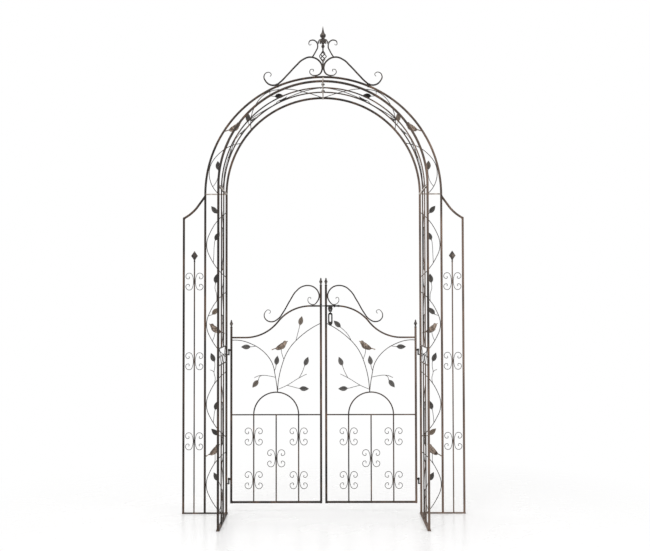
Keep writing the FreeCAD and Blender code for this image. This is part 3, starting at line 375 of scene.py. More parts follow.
def antique_paint(name, dark, brown, copper, rub, scale=1.0, upright=1.0, gloss=(0.42, 0.60), shine=0.22,
                  hammer=0.20, veins=False, lit_side_colour=None):
    """Dark paint, brown where it is thin and rubbed to copper in patches, with a hammered skin, and, where a
    lit-side colour is given, painted light that makes it paler towards +X.
    """
    finish, add = finish_nodes(name)
    place = add("ShaderNodeTexCoord", out="Object")
    drawn = add("ShaderNodeMapping", {"Vector": place, "Scale": (scale, scale, scale * upright)})

    def noise(at, size, detail, rough, bend=0.0):
        return add("ShaderNodeTexNoise", {"Vector": at, "Scale": size, "Detail": detail, "Roughness": rough,
                                          "Distortion": bend}, "Fac")

    cloud = noise(drawn, cloud_scale, 6.0, 0.62)
    patch = noise(drawn, patch_scale, 8.0, 0.7, 0.5)
    speck = noise(place, speck_scale, 3.0, 0.6)
    grain = noise(drawn, grain_scale, 5.0, 0.6)
    colour = blend_colours(add, ramp(add, cloud, 0.38, 0.64), dark, brown)
    worn = times(add, ramp(add, patch, 0.58 - 0.16 * rub, 0.72 - 0.10 * rub), ramp(add, grain, 0.20, 0.62))
    colour = blend_colours(add, times(add, worn, rub), colour, copper)
    # painted light: the paint turns paler towards +X, where the light falls stronger
    if lit_side_colour:
        east = add("ShaderNodeSeparateXYZ", {0: place})
        share = times(add, ramp(add, east, lit_side_from, lit_side_to), ramp(add, cloud, 0.20, 0.66))
        colour = blend_colours(add, times(add, share, lit_side_share), colour, lit_side_colour)
    dust = tuple(min(1.0, 1.9 * part + 0.02) for part in brown)
    colour = blend_colours(add, times(add, ramp(add, speck, 0.56, 0.74), 0.08), colour, dust)
    height = maths(add, "MULTIPLY_ADD", speck, 0.35, grain)
    if veins:
        colour, height = leaf_veins(add, colour, height, copper)
    relief = add("ShaderNodeBump", {"Height": height, "Strength": hammer, "Distance": 0.6 * MM})
    shader = add("ShaderNodeBsdfPrincipled", {"Base Color": colour,
                                              "Roughness": span(add, grain, 0.3, 0.7, *gloss),
                                              "Metallic": 0.05, "Specular IOR Level": shine,
                                              "Normal": relief})
    add("ShaderNodeOutputMaterial", {"Surface": shader})
    return finish


leafy = {"gloss": (0.44, 0.64), "shine": 0.18, "veins": True}
# the tube paint carries painted light, paler towards +X
tube_paint = antique_paint("antique_tube_paint", (0.018, 0.0145, 0.0125), (0.052, 0.037, 0.029),
                           (0.25, 0.14, 0.08), 0.50, upright=0.22, lit_side_colour=(0.27, 0.19, 0.15))
wire_paint = antique_paint("antique_wire_paint", (0.020, 0.017, 0.0155), (0.050, 0.040, 0.034),
                           (0.20, 0.13, 0.09), 0.35, gloss=(0.44, 0.62), shine=0.18)
leaf_paint = antique_paint("antique_leaf_paint", (0.040, 0.038, 0.036), (0.080, 0.075, 0.070),
                           (0.24, 0.175, 0.125), 0.20, **leafy)
gate_leaf_paint = antique_paint("grey_leaf_paint", (0.075, 0.072, 0.070), (0.135, 0.127, 0.120),
                                (0.30, 0.22, 0.16), 0.20, **leafy)
# painted shade: near-black paint for the leaves at the crown, which stand in shade
crown_shade_leaf_paint = antique_paint("painted_shade_leaf_paint", (0.008, 0.0075, 0.007), (0.020, 0.018, 0.017),
                                 (0.09, 0.065, 0.05), 0.15, gloss=(0.48, 0.66), shine=0.12, veins=True)
cast_paint = antique_paint("antique_cast_paint", (0.022, 0.020, 0.019), (0.060, 0.050, 0.044),
                           (0.30, 0.245, 0.205), 0.65, 2.0, hammer=0.45)
bird_paint = antique_paint("cast_bird_paint", (0.055, 0.042, 0.034), (0.160, 0.120, 0.095),
                           (0.52, 0.41, 0.33), 0.90, 2.6, hammer=0.40)
# painted sheen: the flats get pale colours that stand in for the light they reflect, with rubbed copper
# patches on them
flat_paint = antique_paint("painted_sheen_flat_paint", (0.20, 0.165, 0.14), (0.42, 0.365, 0.32),
                           (0.60, 0.55, 0.50), 0.80, 2.0, gloss=(0.38, 0.56), hammer=0.30)
latch_paint = antique_paint("black_latch_paint", (0.010, 0.0095, 0.0095), (0.028, 0.025, 0.023),
                            (0.14, 0.095, 0.07), 0.25, 2.0, gloss=(0.36, 0.54))
weld_paint = antique_paint("weld_bead_paint", (0.022, 0.018, 0.016), (0.060, 0.044, 0.034),
                           (0.26, 0.165, 0.105), 0.55, 2.0, gloss=(0.44, 0.66), hammer=0.8)
paint_of_slot = {"tube": tube_paint, "wire": wire_paint, "leaf_metal": leaf_paint,
                 "cast_ornament": cast_paint, "hardware": latch_paint}
paint_of_node = {"spring_flats": flat_paint, "crown_flats": flat_paint, "gate_left_leaves": gate_leaf_paint,
                 "gate_right_leaves": gate_leaf_paint, "band_birds": bird_paint, "gate_left_bird": bird_paint,
                 "gate_right_bird": bird_paint}
for name, slot in slot_of_node.items():
    nodes[name].data.materials.clear()
    nodes[name].data.materials.append(paint_of_node.get(name, paint_of_slot[slot]))


# Leaves of pressed sheet

leaf_length, leaf_half_width, leaf_fold, leaf_sheet = 51 * MM, 13 * MM, radians(16), 1.2 * MM
leaf_end = 0.6 * MM  # how far a packed leaf's end face lies from its last point, at most
leaf_stations, leaf_columns = 34, 12
# share of the length, share of the half width
leaf_rim = [(0.0, 0.10), (0.04, 0.30), (0.12, 0.62), (0.22, 0.86), (0.32, 0.97), (0.42, 1.0), (0.52, 0.97),
            (0.62, 0.87), (0.72, 0.70), (0.82, 0.48), (0.90, 0.28), (0.96, 0.11), (1.0, 0.015)]
stem_socket = [(1.6, -4.0), (2.3, -2.0), (2.1, 3.0), (1.4, 8.0), (0.5, 13.0)]


def leaf_mesh():
    """A pointed leaf: toothed rim, halves folded up, a sunk midrib, pressed side veins, and a stem socket."""
    work = bmesh.new()
    chart = work.loops.layers.uv.new("leaf")
    places = {}

    def sheet(thick):
        rows = []
        for i in range(leaf_stations + 1):
            t = i / leaf_stations
            bulge = sin(pi * t)
            reach = leaf_half_width * np.interp(t, *zip(*leaf_rim))
            tooth = 1.0 + (0.035 if i % 2 else -0.02) * bulge
            row = []
            for j in range(leaf_columns + 1):
                s = 2 * j / leaf_columns - 1
                side = reach * tooth * s
                phase = vein_count * t - vein_slant * abs(s)
                vein = exp(-((phase - round(phase)) / vein_width) ** 2) * 0.35 * MM * (1 - abs(s)) ** 0.3
                lift = abs(side) * tan(leaf_fold) + 0.8 * MM * abs(s) ** 2.5 * bulge
                groove = 0.7 * MM * exp(-(s / 0.10) ** 2) * sin(pi * min(1.0, t + 0.15))
                droop = 2.2 * MM * max(0.0, t - 0.6) ** 2 / 0.16
                vert = work.verts.new((t * leaf_length, side, lift - vein - groove - droop + thick))
                places[vert] = (t, 0.5 + 0.5 * s)
                row.append(vert)
            rows.append(row)
        return rows

    top, bottom = sheet(leaf_sheet / 2), sheet(-leaf_sheet / 2)
    for i in range(leaf_stations):
        for j in range(leaf_columns):
            work.faces.new((top[i][j], top[i + 1][j], top[i + 1][j + 1], top[i][j + 1]))
            work.faces.new((bottom[i][j], bottom[i][j + 1], bottom[i + 1][j + 1], bottom[i + 1][j]))
    edge = ([(i, 0) for i in range(leaf_stations)]
            + [(leaf_stations, j) for j in range(leaf_columns)]
            + [(i, leaf_columns) for i in range(leaf_stations, 0, -1)]
            + [(0, j) for j in range(leaf_columns, 0, -1)])
    for (a, b), (c, d) in zip(edge, edge[1:] + edge[:1]):
        work.faces.new((top[a][b], top[c][d], bottom[c][d], bottom[a][b]))
    lathe(work, stem_socket, 8, Matrix.Translation((0, 0, -0.7 * MM)) @ along_x)
    for face in work.faces:
        for loop in face.loops:
            loop[chart].uv = places.get(loop.vert, (0.02, 0.5))
    return mesh_from("leaf_pattern", work)


def leaf_seat(points):
    """Where a packed leaf sits: its heel, the way to its tip, and the side that it is folded up to."""
    middle = points.mean(axis=0)
    way = np.linalg.svd(points - middle, full_matrices=False)[2][0]
    reach = (points - middle) @ way
    low = points[reach < reach.min() + leaf_end]
    high = points[reach > reach.max() - leaf_end]
    heel, tip = sorted((low, high), key=lambda end: -np.linalg.norm(np.ptp(end, axis=0)))
    heel, tip = heel.mean(axis=0), tip.mean(axis=0)
    way = (tip - heel) / np.linalg.norm(tip - heel)
    aside = (points - heel) - np.outer((points - heel) @ way, way)
    first = aside[np.argmax(np.linalg.norm(aside, axis=1))]
    second = aside[np.argmin(aside @ first)]
    across = (first - second) / np.linalg.norm(first - second)
    facing = np.cross(way, across)
    if aside.mean(axis=0) @ facing < 0:
        facing = -facing
    return heel, way, facing, plain_size


leaf_pattern = bpy.data.objects.new("leaf_pattern", leaf_mesh())
for number, name in enumerate(("side_leaves", "roof_leaves", "band_leaves", "gate_left_leaves",
                               "gate_right_leaves")):
    seats = [leaf_seat(points) for points, _ in islands(name)]
    low_paint = paint_of_node.get(name, leaf_paint)
    # leaves above crown_from get the paint of painted shade
    for label, paint, chosen in (
            ("pressed", low_paint, [seat for seat in seats if seat[0][2] <= crown_from]),
            ("pressed_crown", crown_shade_leaf_paint, [seat for seat in seats if seat[0][2] > crown_from])):
        if chosen:
            piece_name = f"{label}_{name}"
            leaves_mesh = repeated(piece_name, leaf_pattern, chosen, 11 + number, paint)
            stand_in(name, piece_name, leaves_mesh, paint, 50)


# Cast birds

# along the bird, top, bottom and half width, from the middle of its body
bird_sections = [(-31, -1.0, -4.5, 2.2), (-27, 3.5, -8.0, 5.0), (-20, 7.6, -11.2, 9.0),
                 (-10, 12.0, -13.8, 12.6), (0, 14.4, -14.8, 14.2), (8, 15.0, -14.0, 13.8),
                 (14, 14.8, -11.4, 11.4), (18, 16.4, -7.6, 9.8), (22, 18.3, -4.2, 9.6),
                 (26, 18.0, -1.8, 9.3), (29, 16.2, 0.6, 7.6), (31.3, 13.2, 3.6, 4.8),
                 (32.2, 10.6, 5.8, 2.0)]
bird_beak = (40.75, 7.5)  # ahead of and above the middle of the body
bird_tail_root, bird_tail_length, bird_tail_lift, bird_swell = (-15.0, 2.0), 37.0, radians(8), 1.1
bird_tail_corner = (-50.79, 11.84)  # the point of the solid bird that is farthest from its beak
wing_front, wing_length, wing_half_height, wing_thick = 11.0, 47.0, 7.2, 3.0
wing_stations, wing_columns, tail_stations = 19, 11, 10


def bird_side(x, z):
    """How far out the bird's body reaches to its side, at a place along and above its middle."""
    columns = list(zip(*bird_sections))
    top, bottom, wide = (np.interp(x, columns[0], column) for column in columns[1:])
    share = (z - (top + bottom) / 2) / max(0.1, (top - bottom) / 2)
    return max(2.6, wide * sqrt(max(0.12, 1 - share * share)))


def bird_wing(side):
    """A folded wing against the body: lapped small feathers in front, and long ones behind."""
    rows = []
    for i in range(wing_stations):
        u = 0.02 + 0.96 * i / (wing_stations - 1)
        x = wing_front - wing_length * u
        tall = wing_half_height * sin(pi * u ** 0.72) ** 0.75
        middle = 3.4 - 1.6 * u + 2.2 * sin(pi * u)
        row = []
        for j in range(wing_columns):
            v = 2 * j / (wing_columns - 1) - 1
            lap = abs(sin(pi * (u * 5.5 + 0.6 * v))) if u < 0.5 else abs(sin(2.5 * pi * v))
            z = middle + tall * v
            row.append(mm(x, side * (bird_side(x, z) + 0.9 * lap + 0.7), z))
        rows.append(row + [Vector((p.x, p.y - side * wing_thick * MM, p.z)) for p in reversed(row)])
    return rows


def bird_tail():
    """A lifted tail of ridged feathers, notched at its end."""
    rows = []
    ahead, aloft = cos(bird_tail_lift), sin(bird_tail_lift)
    for i in range(tail_stations):
        u = i / (tail_stations - 1)
        wide, tall = 3.2 + 1.5 * u ** 3, 2.9 - 0.5 * sin(pi * u) + 0.4 * u ** 4
        row = []
        for k, turn in enumerate(turns(12)):
            ridge = 1.0 - 0.10 * (k % 2)
            notch = 2.2 * (1 - abs(cos(turn))) if i == tail_stations - 1 else 0.0
            along = notch - bird_tail_length * u
            above = tall * ridge * sin(turn)
            row.append(mm(bird_tail_root[0] + along * ahead + above * aloft, wide * ridge * cos(turn),
                          bird_tail_root[1] - along * aloft + above * ahead))
        rows.append(row)
    return rows


def bird_mesh():
    """A small songbird: plump body, bill in two halves, eyes, folded wings with feathers, tail and feet."""
    work = bmesh.new()
    skin(work, [[mm(x, wide * cos(turn), (top + bottom) / 2 + (top - bottom) / 2 * sin(turn))
                 for turn in turns(20)] for x, top, bottom, wide in smooth_profile(bird_sections)])
    ahead, above = bird_beak
    for rise, reach, thick in ((above + 1.2, ahead, 2.7), (above - 0.5, ahead - 1.4, 2.1)):
        bill = [(thick, 28.5), (thick * 0.95, 31.5), (thick * 0.6, 35.5), (0.4, reach - 0.5), (0.15, reach)]
        lathe(work, bill, 10, Matrix.Translation((0, 0, rise * MM)) @ along_x)
    for side in (1, -1):
        eye = Matrix.Translation(mm(26.6, side * 7.9, 10.6))
        bmesh.ops.create_icosphere(work, subdivisions=2, radius=1.6 * MM, matrix=eye)
        skin(work, bird_wing(side))
    skin(work, bird_tail())
    for side in (1, -1):
        foot = [(0.9, -12.0), (1.1, -14.2), (1.7, -15.0), (0.9, -15.6)]
        lathe(work, foot, 8, Matrix.Translation(mm(1.5, side * 2.6, 0)))
    return mesh_from("bird_pattern", work)


def bird_seat(points):
    """Where a packed bird sits: its middle, the way that it faces, and its back's side."""
    flat = points[:, [0, 2]]
    tail = flat[np.argmax(((flat - flat.mean(axis=0)) ** 2).sum(axis=1))]
    beak = flat[np.argmax(((flat - tail) ** 2).sum(axis=1))]
    line = (beak - tail) / np.linalg.norm(beak - tail)
    tilt = atan2(bird_beak[1] - bird_tail_corner[1], bird_beak[0] - bird_tail_corner[0])
    for turn in (1, -1):
        lean = -turn * tilt
        way = np.array([line[0] * cos(lean) - line[1] * sin(lean),
                        line[0] * sin(lean) + line[1] * cos(lean)])
        back = turn * np.array([-way[1], way[0]])
        if back[1] >= 0:
            middle = tail - (way * bird_tail_corner[0] + back * bird_tail_corner[1]) * MM
            return ((middle[0], back_plane, middle[1]), (way[0], 0.0, way[1]), (back[0], 0.0, back[1]),
                    (bird_swell, bird_swell, bird_swell))
    raise ValueError("a bird lies on its back")


bird_pattern = bpy.data.objects.new("bird_pattern", bird_mesh())
for number, name in enumerate(("band_birds", "gate_left_bird", "gate_right_bird")):
    seats = [bird_seat(points) for points, _ in islands(name)]
    birds_mesh = repeated(name, bird_pattern, seats, 31 + number, bird_paint)
    stand_in(name, f"cast_{name}", birds_mesh, bird_paint, 35)


# Finial on the crown

finial_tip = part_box("crest_finial")[1].z
# radius, and depth below the tip
spear_profile = [(0.9, 0), (2.4, 8), (3.8, 17), (5.6, 27), (8.0, 35), (12.0, 41), (15.6, 47), (16.0, 53),
                 (14.2, 59), (9.6, 64), (6.4, 68), (5.4, 72)]
bead_profile = [(5.4, 72), (7.6, 76), (8.2, 80), (6.4, 86), (4.6, 92), (4.1, 97), (4.4, 101), (6.8, 104.5),
                (8.9, 108), (9.0, 113), (7.2, 117), (4.8, 119.5), (4.0, 123), (4.0, 134), (5.0, 137),
                (6.6, 139.5), (6.6, 142.5), (4.2, 143.5)]
petal_path = [(4.0, 78.0), (9.5, 73.5), (16.0, 73.0), (21.5, 77.0), (24.3, 84.0), (24.2, 91.0), (21.8, 96.0)]
finial_foot = [(6.6, 190), (6.6, 192), (5.0, 194.5), (4.0, 197), (4.0, 212), (4.8, 216), (4.8, 219),
               (4.0, 226)]
basket_height, basket_width, basket_wire, basket_foot = 47 * MM, 42 * MM, 5.2 * MM, 190 * MM
# the head and the basket are shallower from front to back than they are wide
petal_depth, basket_depth = (Matrix.Scale(share, 4, (0, 1, 0)) for share in (0.70, 0.82))


def hung(profile):
    """A profile of depths below the tip, turned into heights from low to high."""
    return [(radius, -depth) for radius, depth in profile][::-1]


def petal_ring(work, path, half_width, thick, turn):
    """Four leaves that rise from the finial's stem and droop at their tips."""
    line = smooth_profile(path)
    for k in range(4):
        face = petal_depth @ Matrix.Rotation(pi * (k + turn) / 2, 4, "Z")
        rows = []
        for i, (out, depth) in enumerate(line):
            before, after = line[max(0, i - 1)], line[min(len(line) - 1, i + 1)]
            way = Vector((after[0] - before[0], 0.0, before[1] - after[1])).normalized()
            up = Vector((-way.z, 0.0, way.x)) * thick / 2
            t = i / (len(line) - 1)
            half = half_width * (0.45 + 0.55 * sin(pi * min(1.0, 0.15 + 0.85 * t) ** 1.4)) - 0.3 * t
            across = [Vector((0.0, half * v, -0.6 * abs(v))) for v in (-1, -0.5, 0, 0.5, 1)]
            spot = Vector((out, 0.0, -depth))
            row = [spot + v + up * (1.0 - 0.6 * abs(v.y) / half) for v in across]
            back = [spot + v - up * (1.0 - 0.6 * abs(v.y) / half) for v in reversed(across)]
            rows.append([face @ (p * MM) for p in row + back])
        skin(work, rows)


def crest_head_mesh():
    """The cast head of the finial: a ribbed spear, two rings of leaves, and beads on its rod."""
    work = bmesh.new()
    lathe(work, hung(smooth_profile(spear_profile)), 48, flutes=(8, 0.22, -52, 16))
    lathe(work, hung(smooth_profile(bead_profile)), 32, flutes=(8, 0.12, -110.5, 3.5))
    petal_ring(work, petal_path, 9.5, 5.5, 0.0)
    petal_ring(work, [(0.78 * out, depth - 2.0) for out, depth in petal_path], 7.0, 4.5, 0.5)
    lathe(work, hung(finial_foot), 24)
    bmesh.ops.translate(work, verts=work.verts, vec=(0, back_plane, finial_tip))
    return mesh_from("crest_head", work)


def basket_tree():
    """Bowed wires, each turned half round the basket from its foot to its top."""
    tree, add, given = new_tree("twisted_basket", [
        ("Height", "Float", 0.047), ("Width", "Float", 0.042), ("Wire", "Float", 0.005),
        ("Turn", "Float", pi), ("Steps", "Int", 26), ("Finish", "Material", None)])
    line = add("GeometryNodeCurvePrimitiveLine", {"Start": (0, 0, 0), "End": (0, 0, 1)})
    fine = add("GeometryNodeResampleCurve", {"Curve": line, "Count": given["Steps"]})
    share = add("GeometryNodeSplineParameter", out="Factor")
    bow = maths(add, "SINE", times(add, share, pi))
    slack = maths(add, "SUBTRACT", times(add, given["Width"], 0.5), times(add, given["Wire"], 1.5))
    radius = maths(add, "ADD", given["Wire"], times(add, slack, bow))
    angle = times(add, share, given["Turn"])
    spot = add("ShaderNodeCombineXYZ", {0: times(add, radius, maths(add, "COSINE", angle)),
                                        1: times(add, radius, maths(add, "SINE", angle)),
                                        2: times(add, share, given["Height"])})
    bent = add("GeometryNodeSetPosition", {"Geometry": fine, "Position": spot})
    rim = add("GeometryNodeCurvePrimitiveCircle",
              {"Resolution": 12, "Radius": times(add, given["Wire"], 0.5)})
    wire = add("GeometryNodeCurveToMesh", {"Curve": bent, "Profile Curve": rim, "Fill Caps": True})
    turn = add("FunctionNodeAxesToRotation", {0: seat_value(add, "way"), 1: (0.0, 0.0, 1.0)},
               primary_axis="X", secondary_axis="Z")
    laid = add("GeometryNodeInstanceOnPoints", {"Points": given["Geometry"], "Instance": wire,
                                                "Rotation": turn})
    finish_tree(add, given, laid)
    return tree


stand_in("crest_finial", "crest_head", crest_head_mesh(), cast_paint, 50)
basket_seats = [((0.0, back_plane, finial_tip - basket_foot), (cos(turn), sin(turn), 0.0), (0.0, 0.0, 1.0),
                 plain_size) for turn in turns(4)]
basket_mesh = grow("basket", seats_mesh("basket", basket_seats), basket_tree(),
                   {"Height": basket_height, "Width": basket_width, "Wire": basket_wire,
                    "Finish": wire_paint})
basket_mesh.transform(Matrix.Translation((0, back_plane, 0)) @ basket_depth
                      @ Matrix.Translation((0, -back_plane, 0)))
stand_in("crest_finial", "crest_basket", basket_mesh, wire_paint, 60)


# Finials on the gate's stiles and spear heads on the wings

stile_finial_height = 42
stile_finial = [(5.9, -1.0), (7.0, 0.0), (7.2, 1.6), (6.8, 3.0), (5.0, 4.2), (4.0, 6.0), (3.9, 8.4),
                (5.6, 9.6), (6.1, 10.6), (5.4, 11.8), (4.4, 12.8), (6.6, 14.8), (8.6, 17.4), (9.0, 19.6),
                (8.4, 22.4), (7.0, 25.6), (5.6, 28.6), (4.6, 31.6), (4.2, 34.6), (3.6, 37.8), (2.6, 40.2),
                (1.2, 41.6), (0.3, stile_finial_height)]
for name in ("gate_left_finials", "gate_right_finials"):
    work = bmesh.new()
    for points, _ in islands(name):
        low, high = box_of(points)
        foot = Vector(((low[0] + high[0]) / 2, back_plane, high[2] - stile_finial_height * MM))
        lathe(work, smooth_profile(stile_finial), 40, Matrix.Translation(foot), (8, 0.16, 19, 5))
    stand_in(name, f"cast_{name}", mesh_from(name, work), cast_paint, 50)

# half width, half depth and height of a spear head's sections
spear_sections = [(3.4, 3.4, 0), (5.2, 4.6, 1.6), (5.4, 4.8, 3.6), (3.8, 3.6, 5.4), (3.7, 3.5, 8),
                  (4.6, 4.0, 12), (6.4, 4.6, 16.5), (9.6, 5.4, 21.5), (13.8, 6.3, 27), (18.4, 7.0, 33),
                  (17.4, 6.6, 36), (13.2, 5.6, 42), (8.2, 4.2, 49), (4.0, 2.6, 55.5), (1.5, 1.5, 60)]
spear_boss = [(3.4, -1.0), (3.2, 0.6), (2.2, 1.6), (0.6, 2.1)]
boss_out, boss_height = 4.9, 32.5


def wing_spear_mesh():
    """Four-sided heads with raised ridges and a boss on the broadest place."""
    work = bmesh.new()
    for points, _ in islands("wing_spears"):
        low, high = box_of(points)
        foot = Vector(((low[0] + high[0]) / 2, back_plane, low[2]))
        rings = []
        for half, deep, height in spear_sections:
            ring = []
            for k, turn in enumerate(turns(16)):
                sharp = abs(cos(turn)) + abs(sin(turn))
                dent = 1.0 if k % 4 == 0 else 0.92 if k % 2 else 0.86
                ring.append(foot + mm(half * cos(turn), deep * sin(turn), height * sharp) * dent / sharp
                            + Vector((0, 0, height * MM * (1 - dent))))
            rings.append(ring)
        skin(work, rings)
        for side in (1, -1):
            seat = foot + mm(0, side * boss_out, boss_height)
            lathe(work, spear_boss, 12,
                  Matrix.Translation(seat) @ Matrix.Rotation(radians(-90 * side), 4, "X"))
    return mesh_from("wing_spear_heads", work)


stand_in("wing_spears", "wing_spear_heads", wing_spear_mesh(), cast_paint, 30)


# Bolts and nuts of the roof joints

bolt_corner, bolt_head, bolt_nut, bolt_past_nut = 5.77, 4.0, 5.0, 2.0


def bolt_mesh(grip):
    """A hexagon bolt through two flats: its head, its shank, its nut, and the threads past the nut."""
    work = bmesh.new()

    def hexagon(low, high, share_low, share_high):
        rings = []
        for share, height in ((share_low, low), (1.0, low + 0.7), (1.0, high - 0.7), (share_high, high)):
            ring = []
            for k, turn in enumerate(turns(24)):
                out = 1.0 if k % 4 == 0 else 0.9 if k % 2 == 0 else 0.915
                ring.append(mm(height, bolt_corner * share * cos(turn) * out,
                               bolt_corner * share * sin(turn) * out))
            rings.append(ring)
        skin(work, rings)

    hexagon(0.0, bolt_head, 1.0, 0.9)
    lathe(work, [(4.4, bolt_head - 0.2), (3.8, bolt_head)], 24, along_x)
    hexagon(-grip - bolt_nut, -grip, 0.9, 1.0)
    threads = [(3.0 if turn % 2 else 2.6, -grip - bolt_nut - 0.4 * turn) for turn in range(5)]
    shank = [(2.9, 0.2), (2.9, -grip - bolt_nut + 0.2), *threads, (2.2, -grip - bolt_nut - bolt_past_nut)]
    lathe(work, shank, 20, along_x)
    return mesh_from("bolt_pattern", work)


def fastener_seats():
    """The seat of each bolt's head with the way out of it, and the longest bolt's length."""
    solids = [box_of(points) for points, _ in islands("panel_fasteners")]
    long_ones = sorted(solids, key=lambda box: -np.ptp(np.array(box), axis=0).max())[:len(solids) // 2]
    nuts = [box for box in solids if not any(box is other for other in long_ones)]
    seats = []
    for low, high in long_ones:
        axis = int(np.argmax(high - low))
        middle = (low + high) / 2
        nut = min(nuts, key=lambda box: np.linalg.norm((box[0] + box[1]) / 2 - middle))
        way = np.zeros(3)
        way[axis] = np.sign((middle - (nut[0] + nut[1]) / 2)[axis])
        end = middle + way * (high - low)[axis] / 2
        seats.append((end - way * bolt_head * MM, way, np.roll(way, 1), plain_size))
    return seats, max((high - low).max() for low, high in long_ones) / MM


bolt_seats, bolt_length = fastener_seats()
bolt_grip = bolt_length - bolt_head - bolt_nut - bolt_past_nut
bolt_pattern = bpy.data.objects.new("bolt_pattern", bolt_mesh(bolt_grip))
bolts_mesh = repeated("bolts", bolt_pattern, bolt_seats, 41, latch_paint)
stand_in("panel_fasteners", "panel_bolts", bolts_mesh, latch_paint, 30)


# Weld beads

welded_ends = ("post", "posts", "stile", "rails", "rail", "bars", "scrolls", "scroll", "vines", "vine",
               "hoops")
bolted_together = ({"post", "hoops"}, {"posts", "hoops"})
weld_reach, weld_apart, weld_floor, bead_apart = 0.35 * MM, 9 * MM, 12 * MM, 5 * MM
bead_smallest, bead_largest, bead_past_weld, bead_height, bead_lump = 1.8 * MM, 4.6 * MM, 0.7 * MM, 0.62, 1.2


def welded_solids(body):
    """The welded solids of a body: kind, points, surface, and a box a little larger than the solid."""
    solids = []
    for name in sorted(body_of_node):
        kind = name.rsplit("_", 1)[-1]
        if body_of_node[name] == body and kind in welded_ends:
            for points, corners in islands(name):
                tree = BVHTree.FromPolygons([Vector(p) for p in points],
                                            [tuple(map(int, c)) for c in corners])
                low, high = box_of(points)
                solids.append((kind, points, tree, low - weld_reach, high + weld_reach))
    return solids


def weld_seats(body):
    """Where welded solids of a body meet: each meeting's middle, a way, a facing, a size, and the kinds."""
    solids = welded_solids(body)
    places = []
    for kind, points, _, low, high in solids:
        for other, _, tree, other_low, other_high in solids:
            apart = (low > other_high).any() or (high < other_low).any()
            if apart or low is other_low or {kind, other} in bolted_together:
                continue
            close = points[((points > other_low) & (points < other_high)).all(axis=1)]
            hits = [(point, found[0], found[1]) for point in close
                    for found in [tree.find_nearest(Vector(point), weld_reach)] if found[0] is not None]
            while hits:
                near = [hit for hit in hits if np.linalg.norm(hit[0] - hits[0][0]) < weld_apart]
                hits = [hit for hit in hits if np.linalg.norm(hit[0] - hits[0][0]) >= weld_apart]
                middle = np.mean([hit[0] for hit in near], axis=0)
                spread = max(np.linalg.norm(hit[0] - middle) for hit in near)
                facing = sum((hit[2] for hit in near), Vector())
                places.append((middle, spread, facing, {kind, other}))
    lowest, highest = (np.array(corner) for corner in solid_box)
    kept = []
    for middle, spread, facing, kinds in sorted(places, key=lambda place: -place[1]):
        clear = all(np.linalg.norm(middle - seat[0]) > bead_apart for seat in kept)
        if middle[2] > weld_floor and facing.length > 0.01 and clear:
            size = min(bead_largest, max(bead_smallest, spread + bead_past_weld))
            facing = facing.normalized()
            inset = np.array([bead_lump * size, bead_lump * size, 0.0])
            kept.append((np.clip(middle, lowest + inset, highest - inset),
                         tuple(facing.orthogonal().normalized()), tuple(facing),
                         (size, size, bead_height * size), kinds))
    return kept


def bead_mesh():
    """A lumpy bead of weld metal, one metre in radius, to be scaled."""
    work = bmesh.new()
    rings = []
    for i in range(1, 5):
        rise = -cos(pi * i / 5)
        ring = []
        for k in range(8):
            turn = 2 * pi * (k + 0.5 * (i % 2)) / 8
            lump = 1.0 + 0.10 * sin(3.0 * k + 1.7 * i) + 0.05 * sin(5.0 * k - 2.3 * i)
            reach = sqrt(1 - rise * rise) * lump
            ring.append(Vector((reach * cos(turn), reach * sin(turn), rise)))
        rings.append(ring)
    skin(work, rings)
    return mesh_from("bead_pattern", work)


bead_pattern = bpy.data.objects.new("bead_pattern", bead_mesh())
seats_of_body = {body: weld_seats(body) for body in ("arch", "left_gate", "right_gate")}
for number, (body, seats) in enumerate(seats_of_body.items()):
    mesh = repeated(f"{body}_welds", bead_pattern, seats, 51 + number, weld_paint)
    add_piece(f"{body}_weld_beads", mesh, weld_paint, body, 60)


# Scrolls on the crown and on the gate, drawn out thinner towards their free ends

drawn_length, drawn_reach, drawn_share, fuller = 120 * MM, 0.45, 0.40, 0.6 * MM
end_edge = 1.0  # the least angle at the rim of a wire's end face


def way_from(start, links, places):
    """The shortest way along a mesh from some of its points to each point."""
    reach = np.full(len(places), np.inf)
    reach[start] = 0.0
    queue = [(0.0, k) for k in start]
    while queue:
        so_far, here = heapq.heappop(queue)
        if so_far > reach[here]:
            continue
        for there in links[here]:
            total = so_far + float(np.linalg.norm(places[here] - places[there]))
            if total < reach[there] - 1e-9:
                reach[there] = total
                heapq.heappush(queue, (total, there))
    return reach


